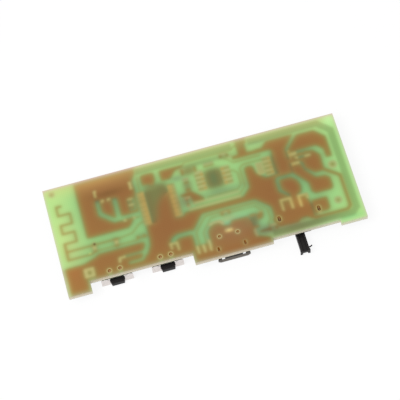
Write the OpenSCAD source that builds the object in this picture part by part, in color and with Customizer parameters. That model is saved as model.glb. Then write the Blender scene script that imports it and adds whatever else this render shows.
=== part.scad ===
// Small single-sided wireless audio amplifier board, lying with its bare laminate up
// and its parts hanging below. X runs along the board, Y from the button edge to the
// far edge, Z up. The origin is the middle of the bare top face.

/* [Board] */
// Length of the board along X
board_l = 74; // [72:0.5:78]
// Width of the board along Y
board_w = 29.2; // [28.8:0.1:32]
// Thickness of the glass fibre laminate
board_t = 1.5; // [1:0.1:2]
// Thickness of the copper foil
foil_t = 0.035; // [0.018:0.001:0.07]
// Thickness of the solder mask
mask_t = 0.025; // [0.015:0.005:0.04]
// Thickness of the tin on the bare pads
tin_t = 0.035; // [0.02:0.005:0.05]
// Width of the printed band along the rim
ink_w = 1.7; // [1.2:0.1:2]
// Left end of the button notch
notch_x = 5.8; // [5:0.1:7]
// Length of the button notch
notch_l = 25.4; // [24.6:0.1:25.6]
// Depth of the button notch
notch_d = 2.65; // [2:0.05:2.8]
// Left end of the slide switch recess
recess_x = 50.6; // [50:0.1:51]
// Length of the slide switch recess
recess_l = 16.9; // [16:0.1:18]
// Depth of the slide switch recess
recess_d = 0.92; // [0.4:0.02:1.2]

/* [Push buttons] */
// Centre of the left button along X
left_button_x = 12.25; // [11.5:0.05:12.6]
// Centre of the right button along X
right_button_x = 24.8; // [24:0.05:25.2]
// Width of the stamped front plate
button_w = 7.9; // [7.2:0.1:8.2]
// Height of the button below the board
button_h = 3.5; // [3.3:0.1:4.3]
// Depth of the button housing along Y
button_d = 3.1; // [2.9:0.1:3.6]
// Width of the plastic housing
button_base_w = 6; // [5.8:0.1:6.4]
// Thickness of the stamped front plate
plate_t = 0.2; // [0.15:0.05:0.3]
// Width of each round-topped ear of the front plate
ear_w = 1.8; // [1.5:0.1:1.9]
// Width of the plunger where it leaves the housing
plunger_w = 3.45; // [3:0.05:3.6]
// Width of the plunger at its tip
plunger_tip_w = 3.05; // [2.6:0.05:3.1]
// Height of the plunger
plunger_h = 1.45; // [1.2:0.05:1.6]
// How far the plunger stands out of the front plate
plunger_out = 1.0; // [0.6:0.1:2]
// Travel of the plunger
plunger_travel = 0.25; // [0.15:0.05:0.3]
// Distance between the two locating pegs of a button
button_peg_pitch = 2.6; // [2.2:0.1:3]
// Diameter of a button peg
button_peg_d = 0.75; // [0.6:0.05:0.85]

/* [Charging socket] */
// Centre of the socket along X
socket_x = 40.75; // [40:0.05:41.5]
// Width of the socket shell
socket_w = 7.5; // [7.3:0.1:7.8]
// Height of the socket shell
socket_h = 2.45; // [2.4:0.05:2.7]
// Depth of the socket shell along Y
socket_d = 5; // [4.6:0.1:5.6]
// Thickness of the shell's sheet metal
shell_t = 0.25; // [0.2:0.05:0.3]
// How far the lip spreads outwards
lip_flare = 0.28; // [0.1:0.02:0.3]
// Length of the spread lip
lip_l = 0.5; // [0.3:0.05:0.6]
// Width of the tongue inside the socket
tongue_w = 4.5; // [4.2:0.1:4.8]
// Thickness of the tongue
tongue_t = 0.6; // [0.5:0.05:0.7]
// Distance between the two locating pegs of the socket
socket_peg_pitch = 4.55; // [4.2:0.05:4.8]
// Diameter of a socket peg
socket_peg_d = 0.6; // [0.5:0.05:0.7]
// How far the middle of each leg lies inside the shell's side
socket_leg_in = 0.475; // [0.45:0.025:0.6]

/* [Slide switch] */
// Centre of the slide switch along X
slide_x = 58.45; // [58:0.05:59]
// Length of the switch frame along X
slide_w = 8.7; // [8.4:0.1:9]
// Depth of the switch frame along Y
slide_d = 3.8; // [3.6:0.1:4.4]
// Height of the switch frame below the board
slide_h = 3.5; // [3.3:0.1:4]
// Thickness of the frame's sheet metal
frame_t = 0.25; // [0.2:0.05:0.3]
// How far the middle of each leg through the board stands off the frame
slide_leg_off = 0.6; // [0.5:0.05:0.85]
// Pitch of the three signal terminals
slide_pin_pitch = 2.2; // [2:0.1:2.4]
// Length of the lever in front of the frame
lever_l = 6.9; // [4:0.1:8]
// Width of the lever
lever_w = 2.15; // [1.8:0.05:2.2]
// Height of the lever
lever_h = 1.9; // [1.6:0.1:2]
// Travel of the lever from one end to the other
lever_travel = 2; // [1.5:0.1:2]

/* [Chips] */
// Centre of the radio chip along X
radio_x = 26.7; // [26.5:0.1:26.9]
// Centre of the radio chip along Y
radio_y = 17.5; // [17.2:0.1:17.8]
// Body width of the radio chip
radio_w = 5.3; // [5:0.1:5.4]
// Body length of the radio chip
radio_l = 10.2; // [9.9:0.1:10.3]
// Body height of the radio chip
radio_h = 1.75; // [1.5:0.05:2]
// Lead pitch of the radio chip
radio_pitch = 0.65; // [0.6:0.01:0.66]
// Tip-to-tip width over the radio chip's leads
radio_span = 7.8; // [7.6:0.1:8]
// Leads on each side of the radio chip
radio_leads_per_side = 14; // [10:1:14]
// Body width of the two small chips
small_chip_w = 3.9; // [3.8:0.1:4]
// Body length of the two small chips
small_chip_l = 4.9; // [4.8:0.1:5]
// Body height of the two small chips
small_chip_h = 1.45; // [1.3:0.05:1.6]
// Lead pitch of the two small chips
small_chip_pitch = 1.27; // [1.2:0.01:1.27]
// Tip-to-tip width over the small chips' leads
small_chip_span = 6; // [5.9:0.1:6.2]
// Centre of the amplifier chip along X
amplifier_x = 41.25; // [41:0.05:41.5]
// Centre of the amplifier chip along Y
amplifier_y = 20.4; // [20:0.1:20.8]
// Centre of the charger chip along X
charger_x = 58.1; // [57.8:0.05:58.4]
// Centre of the charger chip along Y
charger_y = 19.9; // [19.6:0.1:20.2]

/* [Crystal] */
// Centre of the crystal along X
crystal_x = 16.65; // [16.2:0.05:17]
// Centre of the crystal along Y
crystal_y = 24.2; // [23.8:0.1:24.4]
// Length of the crystal can
crystal_l = 9.6; // [9:0.1:10]
// Width of the crystal can
crystal_w = 3.1; // [2.8:0.1:3.4]
// Height of the crystal above its pads
crystal_h = 3.2; // [2.8:0.1:3.4]

/* [Hidden] */
$fn = 48;

// Small amounts used throughout
clearance = 0.05;
running_gap = 0.08;
cut = 1;
pad_depth = foil_t + tin_t;
ink_t = 0.012;
edge_margin = 0.3;

// Board: where the edge of the laminate lies in the notch and in the recess
notch_end = notch_x + notch_l;
recess_end = recess_x + recess_l;
hole_margin = 0.08;

// Buttons: the plate is flush with the edge of the notch
plate_y = notch_d - 0.08;
button_mid_h = button_h / 2;
ear_h = 2.55;
button_back_y = plate_y + button_d;
button_peg_y = plate_y + 1.35;
button_terminal_x = 2.45;
button_terminal_w = 0.6;
button_foot_y = button_back_y + 0.35;
plunger_bevel = 0.18;
plunger_flange_w = 4.3;
plunger_flange_t = 0.45;
plunger_flange_y = plate_y + plate_t + running_gap;
nib_l = 0.12;
dome_r = 1.15;
dome_rise = 0.3;
dome_t = 0.08;
dome_seat_y = plunger_flange_y + plunger_flange_t + nib_l + plunger_travel + running_gap + dome_rise + dome_t;

// Socket: the mouth lies just inside the edge of the board
mouth_y = 0.17;
shell_lift = 0.06;
leg_sink = 0.7;
peg_sink = 0.55;
shell_narrow_w = socket_w - 2.2;
shell_window_x = socket_w / 2 - 1.15;
socket_leg_pitch = socket_w - 2 * socket_leg_in;
shell_shoulder_h = 1.05;
shell_bevel = 0.45;
socket_back_y = mouth_y + socket_d;
socket_peg_y = 5.0;
socket_leg_y = 1.8;
socket_leg_w = 0.9;
tongue_front_y = mouth_y + 0.4;
tongue_low = 1.3;
contact_pitch = 0.65;
contact_w = 0.3;
contact_t = 0.12;
contact_count = 5;
contact_tail_l = 1.5;
contact_knee_h = 0.9;
tongue_block_l = 1.5;
tongue_block_side = 0.6;
socket_heap_d = 1.1;

// Slide switch
slide_front_y = 3.4;
slide_back_y = slide_front_y + slide_d;
slide_leg_y = 5.35;
slide_leg_pitch = slide_w + 2 * slide_leg_off;
slide_heap_d = 2.1;
slide_leg_w = 1.0;
slide_lift = 0.1;
lever_mid_h = (slide_lift + slide_h) / 2;
slider_h = slide_h - slide_lift - 2 * frame_t - 2 * running_gap;
slider_d = 1.7;
wiper_room_w = 2.8;
wiper_room_h = 1.2;
wiper_room_d = 0.5;
slider_w = slide_w - 2 * frame_t - lever_travel - 2 * running_gap;
lever_rest = -lever_travel / 2;
lever_flange_t = 0.5;
lever_web_t = 0.9;
lever_web_short = 0.15;
lever_rib_w = 1.85;
lever_rib_l = 1.5;
insulator_d = 0.9;
switch_terminal_w = 0.8;
switch_terminal_t = 0.25;
switch_pad_l = 2.9;
switch_pad_w = 1.45;
switch_pad_y = slide_back_y + 1;

// Pads and small parts
radio_row_x = radio_span / 2 - 0.05;
radio_pad_l = 1.8;
radio_pad_w = 0.35;
small_row_x = 3.27;
small_pad_l = 2.25;
small_pad_w = 0.5;
crystal_base_l = crystal_l + 0.4;
crystal_base_t = 0.6;
crystal_foot_in = 1.1;

// Small two-ended parts: [x, y, turn, length, width, height]
capacitors = [
    [35.8, 24.15, 0, 3.2, 1.6, 1.3],
    [14.0, 20.9, 90, 1.6, 0.8, 0.8],
    [15.45, 20.9, 90, 1.6, 0.8, 0.8],
    [20.2, 19.3, 90, 1.6, 0.8, 0.8],
    [33.4, 16.0, 90, 1.0, 0.5, 0.5],
    [45.1, 25.6, 0, 1.6, 0.8, 0.8],
    [8.9, 10.65, 90, 1.6, 0.8, 0.8],
    [47.6, 6.5, 90, 3.2, 1.6, 1.3],
    [46.5, 3.6, 90, 2.0, 1.25, 0.8],
    [64.8, 18.1, 90, 2.0, 1.25, 1.0]
];
resistors = [
    [34.5, 20.2, 90, 2.0, 1.25, 0.5],
    [18.85, 15.7, 0, 1.0, 0.5, 0.35],
    [14.3, 10.65, 90, 1.6, 0.8, 0.45],
    [20.4, 10.4, 0, 1.6, 0.8, 0.45],
    [50.2, 27.9, 0, 1.6, 0.8, 0.45],
    [41.5, 10.45, 0, 1.6, 0.8, 0.45],
    [63.9, 20.65, 0, 1.6, 0.8, 0.45],
    [51.5, 3.4, 0, 1.6, 0.8, 0.45]
];
end_cap_l = 0.3;
small_pad_over = 0.35;

// Copper areas as outlines seen from above, in board coordinates
ground_area = [
    [0.7, 0.4], [5.3, 0.4], [5.3, 3.0], [32.3, 3.0], [32.3, 7.6], [35.9, 12.0],
    [49.3, 12.0], [52.5, 9.1], [52.6, 6.6], [51.9, 5.3], [53.0, 3.3], [57.7, 3.1], [58.9, 4.2], [60.0, 4.2], [61.0, 3.2],
    [61.7, 3.2], [61.7, 9.5], [57.75, 10.2], [55.3, 12.3], [55.3, 15.6], [56.0, 16.2], [60.0, 16.3],
    [59.9, 22.9], [62.9, 26.5], [56.0, 26.5], [54.7, 25.1], [50.8, 24.9], [50.8, 28.4],
    [48.7, 28.4], [48.7, 24.9], [47.0, 24.9], [47.0, 24.0], [56.6, 24.0], [56.8, 17.1],
    [53.4, 16.9], [51.5, 18.8], [51.3, 20.6], [50.8, 21.1], [49.4, 21.1], [48.9, 20.6],
    [48.9, 15.6], [46.9, 13.5], [32.1, 13.5], [31.8, 12.7], [29.8, 12.7], [29.7, 20.3],
    [27.6, 19.2], [26.2, 17.3], [25.0, 13.2], [22.2, 12.8], [22.2, 8.8], [9.4, 8.8],
    [8.4, 8.2], [5.6, 7.3], [0.7, 7.2]
];
radio_area = [
    [7.8, 13.5], [18.2, 13.5], [19.8, 15.3], [21.5, 15.6], [21.5, 21.3], [21.9, 22.4],
    [21.7, 25.6], [22.9, 27.4], [22.9, 28.4], [7.8, 28.4]
];
socket_area = [
    [31.6, 0.4], [50.2, 0.4], [50.2, 1.4], [48.4, 2.2], [46.9, 2.8], [46.9, 6.4],
    [46.4, 8.2], [42.4, 8.3], [41.6, 7.2], [40.2, 7.6], [39.4, 8.6], [38.2, 8.7],
    [37.0, 8.2], [36.1, 6.8], [36.1, 3.1], [31.6, 3.1]
];
small_areas = [
    // Two islands above the radio chip
    [[24.0, 23.5], [24.0, 26.0], [24.4, 26.3], [27.0, 26.3], [27.3, 26.0], [27.3, 24.0],
        [26.7, 23.0], [26.0, 23.0], [25.5, 23.4]],
    [[28.8, 23.3], [28.8, 26.2], [34.6, 26.2], [34.6, 25.6], [32.6, 25.2], [31.0, 23.3]],
    // Wedge beside the radio chip
    [[31.9, 18.2], [33.9, 18.6], [35.1, 18.6], [37.8, 15.9], [37.4, 15.4], [34.8, 15.6],
        [34.5, 17.4], [32.7, 17.6]],
    // Strip beside the far end of the amplifier chip
    [[39.5, 23.9], [42.2, 23.9], [42.2, 24.35], [39.5, 24.35]],
    // Below the slide switch's middle terminal
    [[56.2, 12.7], [57.7, 11.0], [57.75, 9.4], [59.2, 9.4], [59.2, 10.2], [60.7, 10.8],
        [61.0, 12.5], [60.5, 14.1], [59.3, 15.3], [56.3, 15.3]],
    // Lobe of the charger
    [[60.2, 16.1], [60.2, 18.1], [62.6, 18.1], [63.0, 16.2], [65.1, 13.6], [67.4, 13.4],
        [68.4, 12.6], [68.4, 9.9], [67.9, 9.3], [63.9, 9.3], [63.1, 10.0], [63.0, 12.6]],
    // Curved area in the far right corner
    [[60.6, 22.6], [63.7, 26.0], [68.0, 26.1], [70.5, 23.7], [70.6, 18.0], [69.1, 17.9],
        [69.0, 20.5], [67.6, 21.8], [61.0, 21.9]],
    [[59.8, 18.9], [62.6, 18.8], [63.4, 18.2], [63.4, 16.7], [65.3, 14.7], [66.9, 14.7],
        [67.7, 15.6], [67.9, 19.2], [66.4, 20.9], [62.3, 20.9], [60.7, 20.1], [59.8, 20.0]],
    // Around the right leg of the slide switch
    [[62.4, 4.3], [62.4, 7.8], [66.1, 7.8], [66.1, 4.8], [65.6, 4.3]],
    // Right of the socket
    [[48.6, 6.5], [49.9, 6.8], [50.3, 8.2], [49.6, 8.6], [48.6, 8.0]],
    // Ends of the three lines beside the socket
    [[32.95, 2.8], [33.95, 2.8], [33.95, 4.1], [32.95, 4.1]],
    [[34.45, 2.8], [35.5, 2.8], [35.5, 4.1], [34.45, 4.1]]
];
channels = [
    // [width, points]: bare strips that part the copper areas
    [1.2, [[12.3, 23.0], [12.3, 19.0], [15.3, 16.4], [21.8, 16.5]]],
    [1.3, [[16.5, 22.2], [16.5, 16.6]]],
    [1.3, [[21.4, 9.3], [21.4, 7.9], [20.2, 5.6]]],
    [0.75, [[20.3, 6.2], [19.7, 4.8], [19.2, 4.5], [15.8, 4.5]]],
    [0.6, [[20.8, 6.4], [15.0, 6.4]]],
    [1.2, [[32.6, 7.9], [28.8, 7.9], [27.9, 7.5], [27.3, 6.6]]],
    // Bare cuts beside the pads of the switch, the socket, the buttons and the crystal
    [0.42, [[55.15, 7.0], [55.15, 9.9], [57.5, 9.9], [57.5, 7.0]]],
    [0.45, [[59.6, 6.9], [59.6, 9.9], [61.7, 9.9], [61.7, 8.4]]],
    [0.4, [[32.7, 1.9], [32.7, 4.0]]],
    [0.4, [[34.2, 1.9], [34.2, 4.0]]],
    [0.45, [[35.75, 1.9], [35.75, 4.9]]],
    [0.45, [[47.2, 2.4], [47.2, 4.4]]],
    [0.5, [[15.7, 6.35], [14.1, 6.35], [13.9, 5.2]]],
    [0.45, [[26.8, 5.0], [26.7, 6.4], [28.3, 6.4], [28.35, 4.3]]],
    [0.8, [[12.25, 23.5], [12.25, 25.7]]],
    [0.8, [[21.1, 23.3], [21.1, 25.5]]],
    [1.0, [[40.1, 6.1], [42.1, 6.1]]],
    [0.8, [[13.6, 21.7], [13.6, 22.75]]],
    [0.95, [[15.15, 21.8], [15.15, 22.75]]],
    [0.7, [[17.25, 15.7], [18.1, 15.7]]],
    [0.7, [[19.6, 15.7], [20.35, 15.7]]],
    [0.6, [[61.4, 20.8], [62.3, 19.9], [65.6, 19.8]]]
];
tracks = [
    // [width, points]: the antenna first, then the lines between the parts
    [0.5, [[3.6, 23.85], [2.3, 23.85], [2.3, 21.4], [5.2, 21.4], [5.2, 18.7], [2.3, 18.7],
        [2.3, 16.35], [5.2, 16.35], [5.2, 13.7], [2.15, 13.7], [2.15, 9.3], [8.0, 9.3], [8.9, 9.85]]],
    [0.5, [[2.15, 11.5], [15.4, 11.5]]],
    [0.3, [[15.3, 11.5], [18.6, 11.9], [20.6, 13.7], [21.9, 14.2]]],
    [0.3, [[8.9, 9.8], [19.2, 9.8], [20.0, 10.3], [22.0, 10.3]]],
    [0.25, [[34.8, 14.55], [46.3, 14.55], [48.0, 16.2], [48.0, 21.2], [48.9, 22.0], [53.8, 22.0]]],
    [0.25, [[44.9, 25.2], [46.9, 23.2], [53.8, 23.2]]],
    [0.25, [[45.2, 21.27], [46.2, 21.27], [47.2, 20.2], [47.2, 17.0], [46.1, 15.9], [38.2, 15.9]]],
    [0.3, [[34.5, 26.0], [35.4, 26.7], [47.2, 26.7], [48.0, 27.4], [48.9, 27.4]]],
    [0.85, [[67.2, 15.3], [70.9, 12.4], [70.9, 3.9], [70.1, 3.15], [61.6, 3.15]]],
    [0.25, [[33.4, 3.9], [33.4, 7.6], [36.6, 11.2], [49.0, 11.2], [51.5, 8.7], [51.5, 6.0], [50.75, 5.0],
        [50.75, 3.5]]],
    [0.5, [[48.2, 3.45], [50.7, 3.45]]],
    [0.25, [[35.1, 3.9], [35.1, 7.1], [37.7, 10.25], [40.6, 10.4]]],
    [0.25, [[42.3, 10.4], [48.7, 10.35], [50.4, 8.6]]],
    [0.25, [[23.0, 21.5], [23.0, 24.4], [23.2, 26.2]]]
];
// Bare strips in the mask where the laminate shows pale: [width, points]
mask_strips = [
    [0.4, [[34.6, 15.2], [46.4, 15.2]]],
    [0.35, [[33.2, 13.95], [46.4, 13.95]]],
    [0.5, [[55.15, 6.9], [55.15, 9.9], [57.5, 9.9], [57.5, 6.9]]],
    [0.55, [[59.6, 6.8], [59.6, 9.9], [61.7, 9.9], [61.7, 8.6]]],
    [0.5, [[32.7, 1.8], [32.7, 4.1]]],
    [0.5, [[34.2, 1.8], [34.2, 4.1]]],
    [0.55, [[35.75, 1.8], [35.75, 5.0]]],
    [0.55, [[47.2, 2.3], [47.2, 4.5]]],
    [0.6, [[15.6, 6.35], [14.1, 6.35], [13.9, 5.1]]],
    [0.55, [[26.8, 4.9], [26.7, 6.4], [28.3, 6.4], [28.35, 4.2]]],
    [0.5, [[36.8, 8.55], [38.1, 9.0], [39.55, 8.9], [40.4, 7.9]]]
];
// Bare rectangles in the mask: [middle x, middle y, width, height]
mask_windows = [
    [12.25, 24.6, 0.7, 2.0], [21.1, 24.4, 0.7, 2.1],
    [13.6, 22.2, 0.7, 0.9], [15.15, 22.25, 0.9, 0.8],
    [20.2, 20.95, 1.4, 0.6], [20.2, 19.3, 1.4, 0.6],
    [17.7, 15.7, 0.8, 0.6], [19.9, 15.7, 0.8, 0.6],
    [34.2, 24.95, 1.6, 0.5], [38.1, 23.2, 1.9, 0.8],
    [34.5, 22.1, 1.5, 0.7], [33.6, 17.1, 1.4, 0.5], [33.5, 14.9, 0.9, 0.5],
    [40.9, 24.75, 2.6, 0.6], [44.9, 26.1, 1.7, 0.5], [46.5, 25.0, 0.9, 0.5],
    [51.0, 27.7, 0.9, 0.6], [49.6, 28.5, 3.2, 0.4],
    [14.3, 10.65, 1.0, 0.9], [8.9, 10.65, 1.0, 0.9], [41.5, 10.95, 2.6, 0.5],
    [41.1, 6.1, 2.1, 1.1],
    [61.5, 21.15, 1.2, 1.0], [61.4, 18.45, 2.0, 0.55], [64.8, 19.82, 1.5, 0.5],
    [51.45, 4.25, 1.7, 0.5], [49.55, 8.35, 1.1, 0.6], [52.75, 19.7, 1.9, 3.4]
];
// Round test points with a bare ring around them: [x, y, pad diameter, ring diameter]
test_points = [
    [2.0, 27.55, 0.7, 1.6], [70.0, 15.7, 1.1, 2.2], [68.5, 6.1, 0.9, 2.0], [9.05, 11.8, 0.5, 0.9]
];
square_pad_x = 6.25;
square_pad_y = 4.75;
square_pad_w = 0.9;
square_gap_w = 2.5;
// Bare window in the foil beside the radio chip
foil_window = [20.3, 19.4, 1.7, 3.3];
// Printed band along the rim, in two runs, its middle line ink_in off the edges
ink_in = 1.6;
ink_right = board_l - 1.8;
ink_top = board_w - ink_in;
ink_runs = [
    [[23.0, ink_top], [47.5, ink_top]],
    [[51.6, ink_top], [ink_right - 2.9, ink_top], [ink_right, ink_top - 2.7], [ink_right, 3.2],
        [ink_right - 1.3, 2.0], [51.0, 2.0]]
];

// Helpers

function unit(a, b) = (b - a) / norm(b - a);
function turned(v) = [-v[1], v[0]];
// Corner of a strip's side at point i: the two sides there meet in a mitre
function mitre(p, i, half) =
    let (
        n = len(p),
        before = i == 0 ? turned(unit(p[0], p[1])) : turned(unit(p[i - 1], p[i])),
        after = i == n - 1 ? before : turned(unit(p[i], p[i + 1])),
        middle = before + after
    )
    p[i] + middle * (2 * half / (middle * middle));
function strip_outline(p, w) = concat(
    [for (i = [0 : len(p) - 1]) mitre(p, i, w / 2)],
    [for (i = [len(p) - 1 : -1 : 0]) mitre(p, i, -w / 2)]
);

module strip(points, w) {
    polygon(strip_outline(points, w));
}

module window(m) {
    translate([m[0], m[1]]) square([m[2], m[3]], center = true);
}

// Board coordinates: the near left corner of the top face
module board_frame() {
    translate([-board_l / 2, -board_w / 2, 0]) children();
}

// Parts are built standing on the copper, and hang below the board
module component_side() {
    board_frame() translate([0, 0, -board_t - pad_depth]) mirror([0, 0, 1]) children();
}

// Outline of the board, or a line inside it by margin
module board_outline(margin = 0) {
    difference() {
        translate([margin, margin]) square([board_l - 2 * margin, board_w - 2 * margin]);
        translate([notch_x - margin, -cut]) square([notch_l + 2 * margin, notch_d + margin + cut]);
        translate([recess_x - margin, -cut]) square([recess_l + 2 * margin, recess_d + margin + cut]);
    }
}

// Slot with round ends, its length along Y
module slot_2d(w, l) {
    translate([0, (l - w) / 2]) circle(d = w);
    translate([0, -(l - w) / 2]) circle(d = w);
    square([w, l - w], center = true);
}

module at_button_pegs() {
    for (x = [left_button_x, right_button_x], side = [-1, 1])
        translate([x + side * button_peg_pitch / 2, button_peg_y]) children();
}

module at_socket_pegs() {
    for (side = [-1, 1]) translate([socket_x + side * socket_peg_pitch / 2, socket_peg_y]) children();
}

module at_socket_legs() {
    for (side = [-1, 1]) translate([socket_x + side * socket_leg_pitch / 2, socket_leg_y]) children();
}

module at_slide_legs() {
    for (side = [-1, 1]) translate([slide_x + side * slide_leg_pitch / 2, slide_leg_y]) children();
}

// All holes, each wider by peg_extra or leg_extra in the sheets below the laminate
module board_holes_2d(peg_extra = 0, socket_leg_extra = 0, slide_leg_extra = 0) {
    at_button_pegs() circle(d = button_peg_d + 2 * hole_margin + peg_extra);
    at_socket_pegs() circle(d = socket_peg_d + 2 * hole_margin + peg_extra);
    at_socket_legs() slot_2d(shell_t + 0.3 + socket_leg_extra, socket_leg_w + 0.3 + socket_leg_extra);
    at_slide_legs() slot_2d(frame_t + 0.55 + slide_leg_extra, slide_leg_w + 0.4 + slide_leg_extra);
}

// Board, copper and mask

module laminate() {
    color("#b9d27c") board_frame() translate([0, 0, -board_t]) linear_extrude(board_t) difference() {
        board_outline();
        board_holes_2d();
    }
}

// Pads of one chip: two rows along Y
module chip_pads_2d(x, y, count, pitch, row_x, pad_l, pad_w) {
    for (side = [-1, 1], i = [0 : count - 1])
        translate([x + side * row_x, y + (i - (count - 1) / 2) * pitch])
            square([pad_l, pad_w], center = true);
}

module all_chip_pads_2d() {
    chip_pads_2d(radio_x, radio_y, radio_leads_per_side, radio_pitch, radio_row_x, radio_pad_l, radio_pad_w);
    chip_pads_2d(amplifier_x, amplifier_y, 4, small_chip_pitch, small_row_x, small_pad_l, small_pad_w);
    chip_pads_2d(charger_x, charger_y, 4, small_chip_pitch, small_row_x, small_pad_l, small_pad_w);
}

// Two pads under a small two-ended part
module two_pads_2d(part) {
    translate([part[0], part[1]]) rotate(part[2]) for (side = [-1, 1])
        translate([side * (part[3] - end_cap_l + small_pad_over) / 2, 0])
            square([end_cap_l + small_pad_over, part[4] + 0.1], center = true);
}

module switch_pads_2d() {
    for (i = [-1 : 1]) translate([slide_x + i * slide_pin_pitch, switch_pad_y])
        square([switch_pad_w, switch_pad_l], center = true);
}

module button_pads_2d() {
    for (x = [left_button_x, right_button_x], side = [-1, 1])
        translate([x + side * button_terminal_x, button_foot_y - 0.35])
            square([button_terminal_w + 0.1, 0.9], center = true);
}

module crystal_pads_2d() {
    for (side = [-1, 1]) translate([crystal_x + side * (crystal_l / 2 - crystal_foot_in), crystal_y])
        square([1.0, 1.7], center = true);
}

module contact_pads_2d() {
    for (i = [0 : contact_count - 1])
        translate([socket_x + (i - (contact_count - 1) / 2) * contact_pitch, socket_back_y + 0.9])
            square([contact_w + 0.1, 1.3], center = true);
}

// Bare gaps in the copper around the rows of pads
module pad_clearings_2d() {
    for (side = [-1, 1]) {
        window([radio_x + side * radio_row_x, radio_y, radio_pad_l + 0.1,
            radio_leads_per_side * radio_pitch]);
        window([amplifier_x + side * small_row_x, amplifier_y, small_pad_l, 4 * small_chip_pitch]);
        window([charger_x + side * small_row_x, charger_y, small_pad_l, 4 * small_chip_pitch]);
    }
    window(foil_window);
    window([square_pad_x, square_pad_y, square_gap_w, square_gap_w]);
}

module copper_2d() {
    difference() {
        intersection() {
            board_outline(edge_margin);
            copper_shapes_2d();
        }
        board_holes_2d(0.2, 0.1, 0.1);
    }
}

module copper_shapes_2d() {
    difference() {
        union() {
            difference() {
                union() {
                    polygon(ground_area);
                    polygon(radio_area);
                    polygon(socket_area);
                }
                pad_clearings_2d();
            }
            for (area = small_areas) polygon(area);
        }
        for (c = channels) strip(c[1], c[0]);
    }
    for (t = tracks) strip(t[1], t[0]);
    all_chip_pads_2d();
    switch_pads_2d();
    button_pads_2d();
    crystal_pads_2d();
    contact_pads_2d();
    for (part = concat(capacitors, resistors)) two_pads_2d(part);
    for (p = test_points) translate([p[0], p[1]]) circle(d = p[2]);
    window([square_pad_x, square_pad_y, square_pad_w, square_pad_w]);
}

module copper_foil() {
    color("#b06a3a") board_frame() translate([0, 0, -board_t - foil_t]) linear_extrude(foil_t) copper_2d();
}

module mask_openings_2d() {
    for (side = [-1, 1]) {
        window([radio_x + side * radio_row_x, radio_y, radio_pad_l + 0.1,
            radio_leads_per_side * radio_pitch]);
        window([amplifier_x + side * small_row_x, amplifier_y, small_pad_l, 4 * small_chip_pitch]);
        window([charger_x + side * small_row_x, charger_y, small_pad_l, 4 * small_chip_pitch]);
    }
    switch_pads_2d();
    button_pads_2d();
    crystal_pads_2d();
    contact_pads_2d();
    for (part = concat(capacitors, resistors)) two_pads_2d(part);
    for (m = mask_windows) window(m);
    for (s = mask_strips) strip(s[1], s[0]);
    for (p = test_points) translate([p[0], p[1]]) circle(d = p[3]);
    window([square_pad_x, square_pad_y, square_gap_w, square_gap_w]);
    board_holes_2d(0.45, 0.8, 1.4);
}

module solder_mask() {
    color("#2f8f4e") board_frame() translate([0, 0, -board_t - foil_t - mask_t]) linear_extrude(mask_t)
        difference() {
            board_outline();
            mask_openings_2d();
        }
}

// Plain printed band on the mask, along the rim
module ink_band() {
    color("#3f5f3a") board_frame() translate([0, 0, -board_t - foil_t - mask_t - ink_t]) linear_extrude(ink_t)
        difference() {
            intersection() {
                board_outline(edge_margin);
                for (run = ink_runs) strip(run, ink_w);
            }
            mask_openings_2d();
        }
}

// Tin on the copper that the mask leaves bare
module pad_tin() {
    color("#cfd3d6") board_frame() translate([0, 0, -board_t - foil_t - tin_t]) linear_extrude(tin_t)
        intersection() {
            copper_2d();
            mask_openings_2d();
        }
}

// Chips

// One gull-wing lead: a bent strip that leaves the body at mid height, foot outwards
module gull_lead(reach, drop, foot, w, t) {
    knee = (reach - foot) * 0.45;
    rotate([90, 0, 0]) translate([0, 0, -w / 2]) linear_extrude(w) polygon([
        [0, drop], [0, drop + t], [knee + t / 2, drop + t], [reach - foot + t / 2, t],
        [reach, t], [reach, 0], [reach - foot, 0], [knee, drop]
    ]);
}

// Moulded body whose upper and lower halves taper from the parting line
module moulded_body(w, l, h, lift) {
    taper = 0.12;
    waist = lift + (h - lift) * 0.45;
    intersection() {
        translate([0, l / 2, 0]) rotate([90, 0, 0]) linear_extrude(l) polygon([
            [-w / 2 + taper, lift], [-w / 2, waist], [-w / 2 + taper, h],
            [w / 2 - taper, h], [w / 2, waist], [w / 2 - taper, lift]
        ]);
        translate([-w / 2, 0, 0]) rotate([90, 0, 90]) linear_extrude(w) polygon([
            [-l / 2 + taper, lift], [-l / 2, waist], [-l / 2 + taper, h],
            [l / 2 - taper, h], [l / 2, waist], [l / 2 - taper, lift]
        ]);
    }
}

module chip_body(x, y, w, l, h) {
    lift = 0.12;
    dot_d = min(w, l) * 0.16;
    dot_depth = 0.08;
    component_side() translate([x, y, 0]) difference() {
        moulded_body(w, l, h, lift);
        translate([-w / 2 + 2 * dot_d, l / 2 - 2 * dot_d, h - dot_depth]) cylinder(d = dot_d, h = dot_depth + cut);
    }
}

module chip_leads(x, y, count, pitch, body_w, span, h, w, t) {
    waist = 0.12 + (h - 0.12) * 0.45;
    component_side() for (side = [0, 1], i = [0 : count - 1])
        translate([x, y + (i - (count - 1) / 2) * pitch, 0]) mirror([side, 0, 0])
            translate([body_w / 2, 0, 0])
                gull_lead((span - body_w) / 2, waist - t / 2, (span - body_w) * 0.28, w, t);
}

module radio_chip_body() {
    color("#26282a") chip_body(radio_x, radio_y, radio_w, radio_l, radio_h);
}

module radio_chip_leads() {
    color("silver")
        chip_leads(radio_x, radio_y, radio_leads_per_side, radio_pitch, radio_w, radio_span, radio_h, 0.28, 0.15);
}

module amplifier_chip_body() {
    color("#26282a") chip_body(amplifier_x, amplifier_y, small_chip_w, small_chip_l, small_chip_h);
}

module amplifier_chip_leads() {
    color("silver")
        chip_leads(amplifier_x, amplifier_y, 4, small_chip_pitch, small_chip_w, small_chip_span, small_chip_h, 0.42, 0.2);
}

module charger_chip_body() {
    color("#26282a") chip_body(charger_x, charger_y, small_chip_w, small_chip_l, small_chip_h);
}

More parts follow.
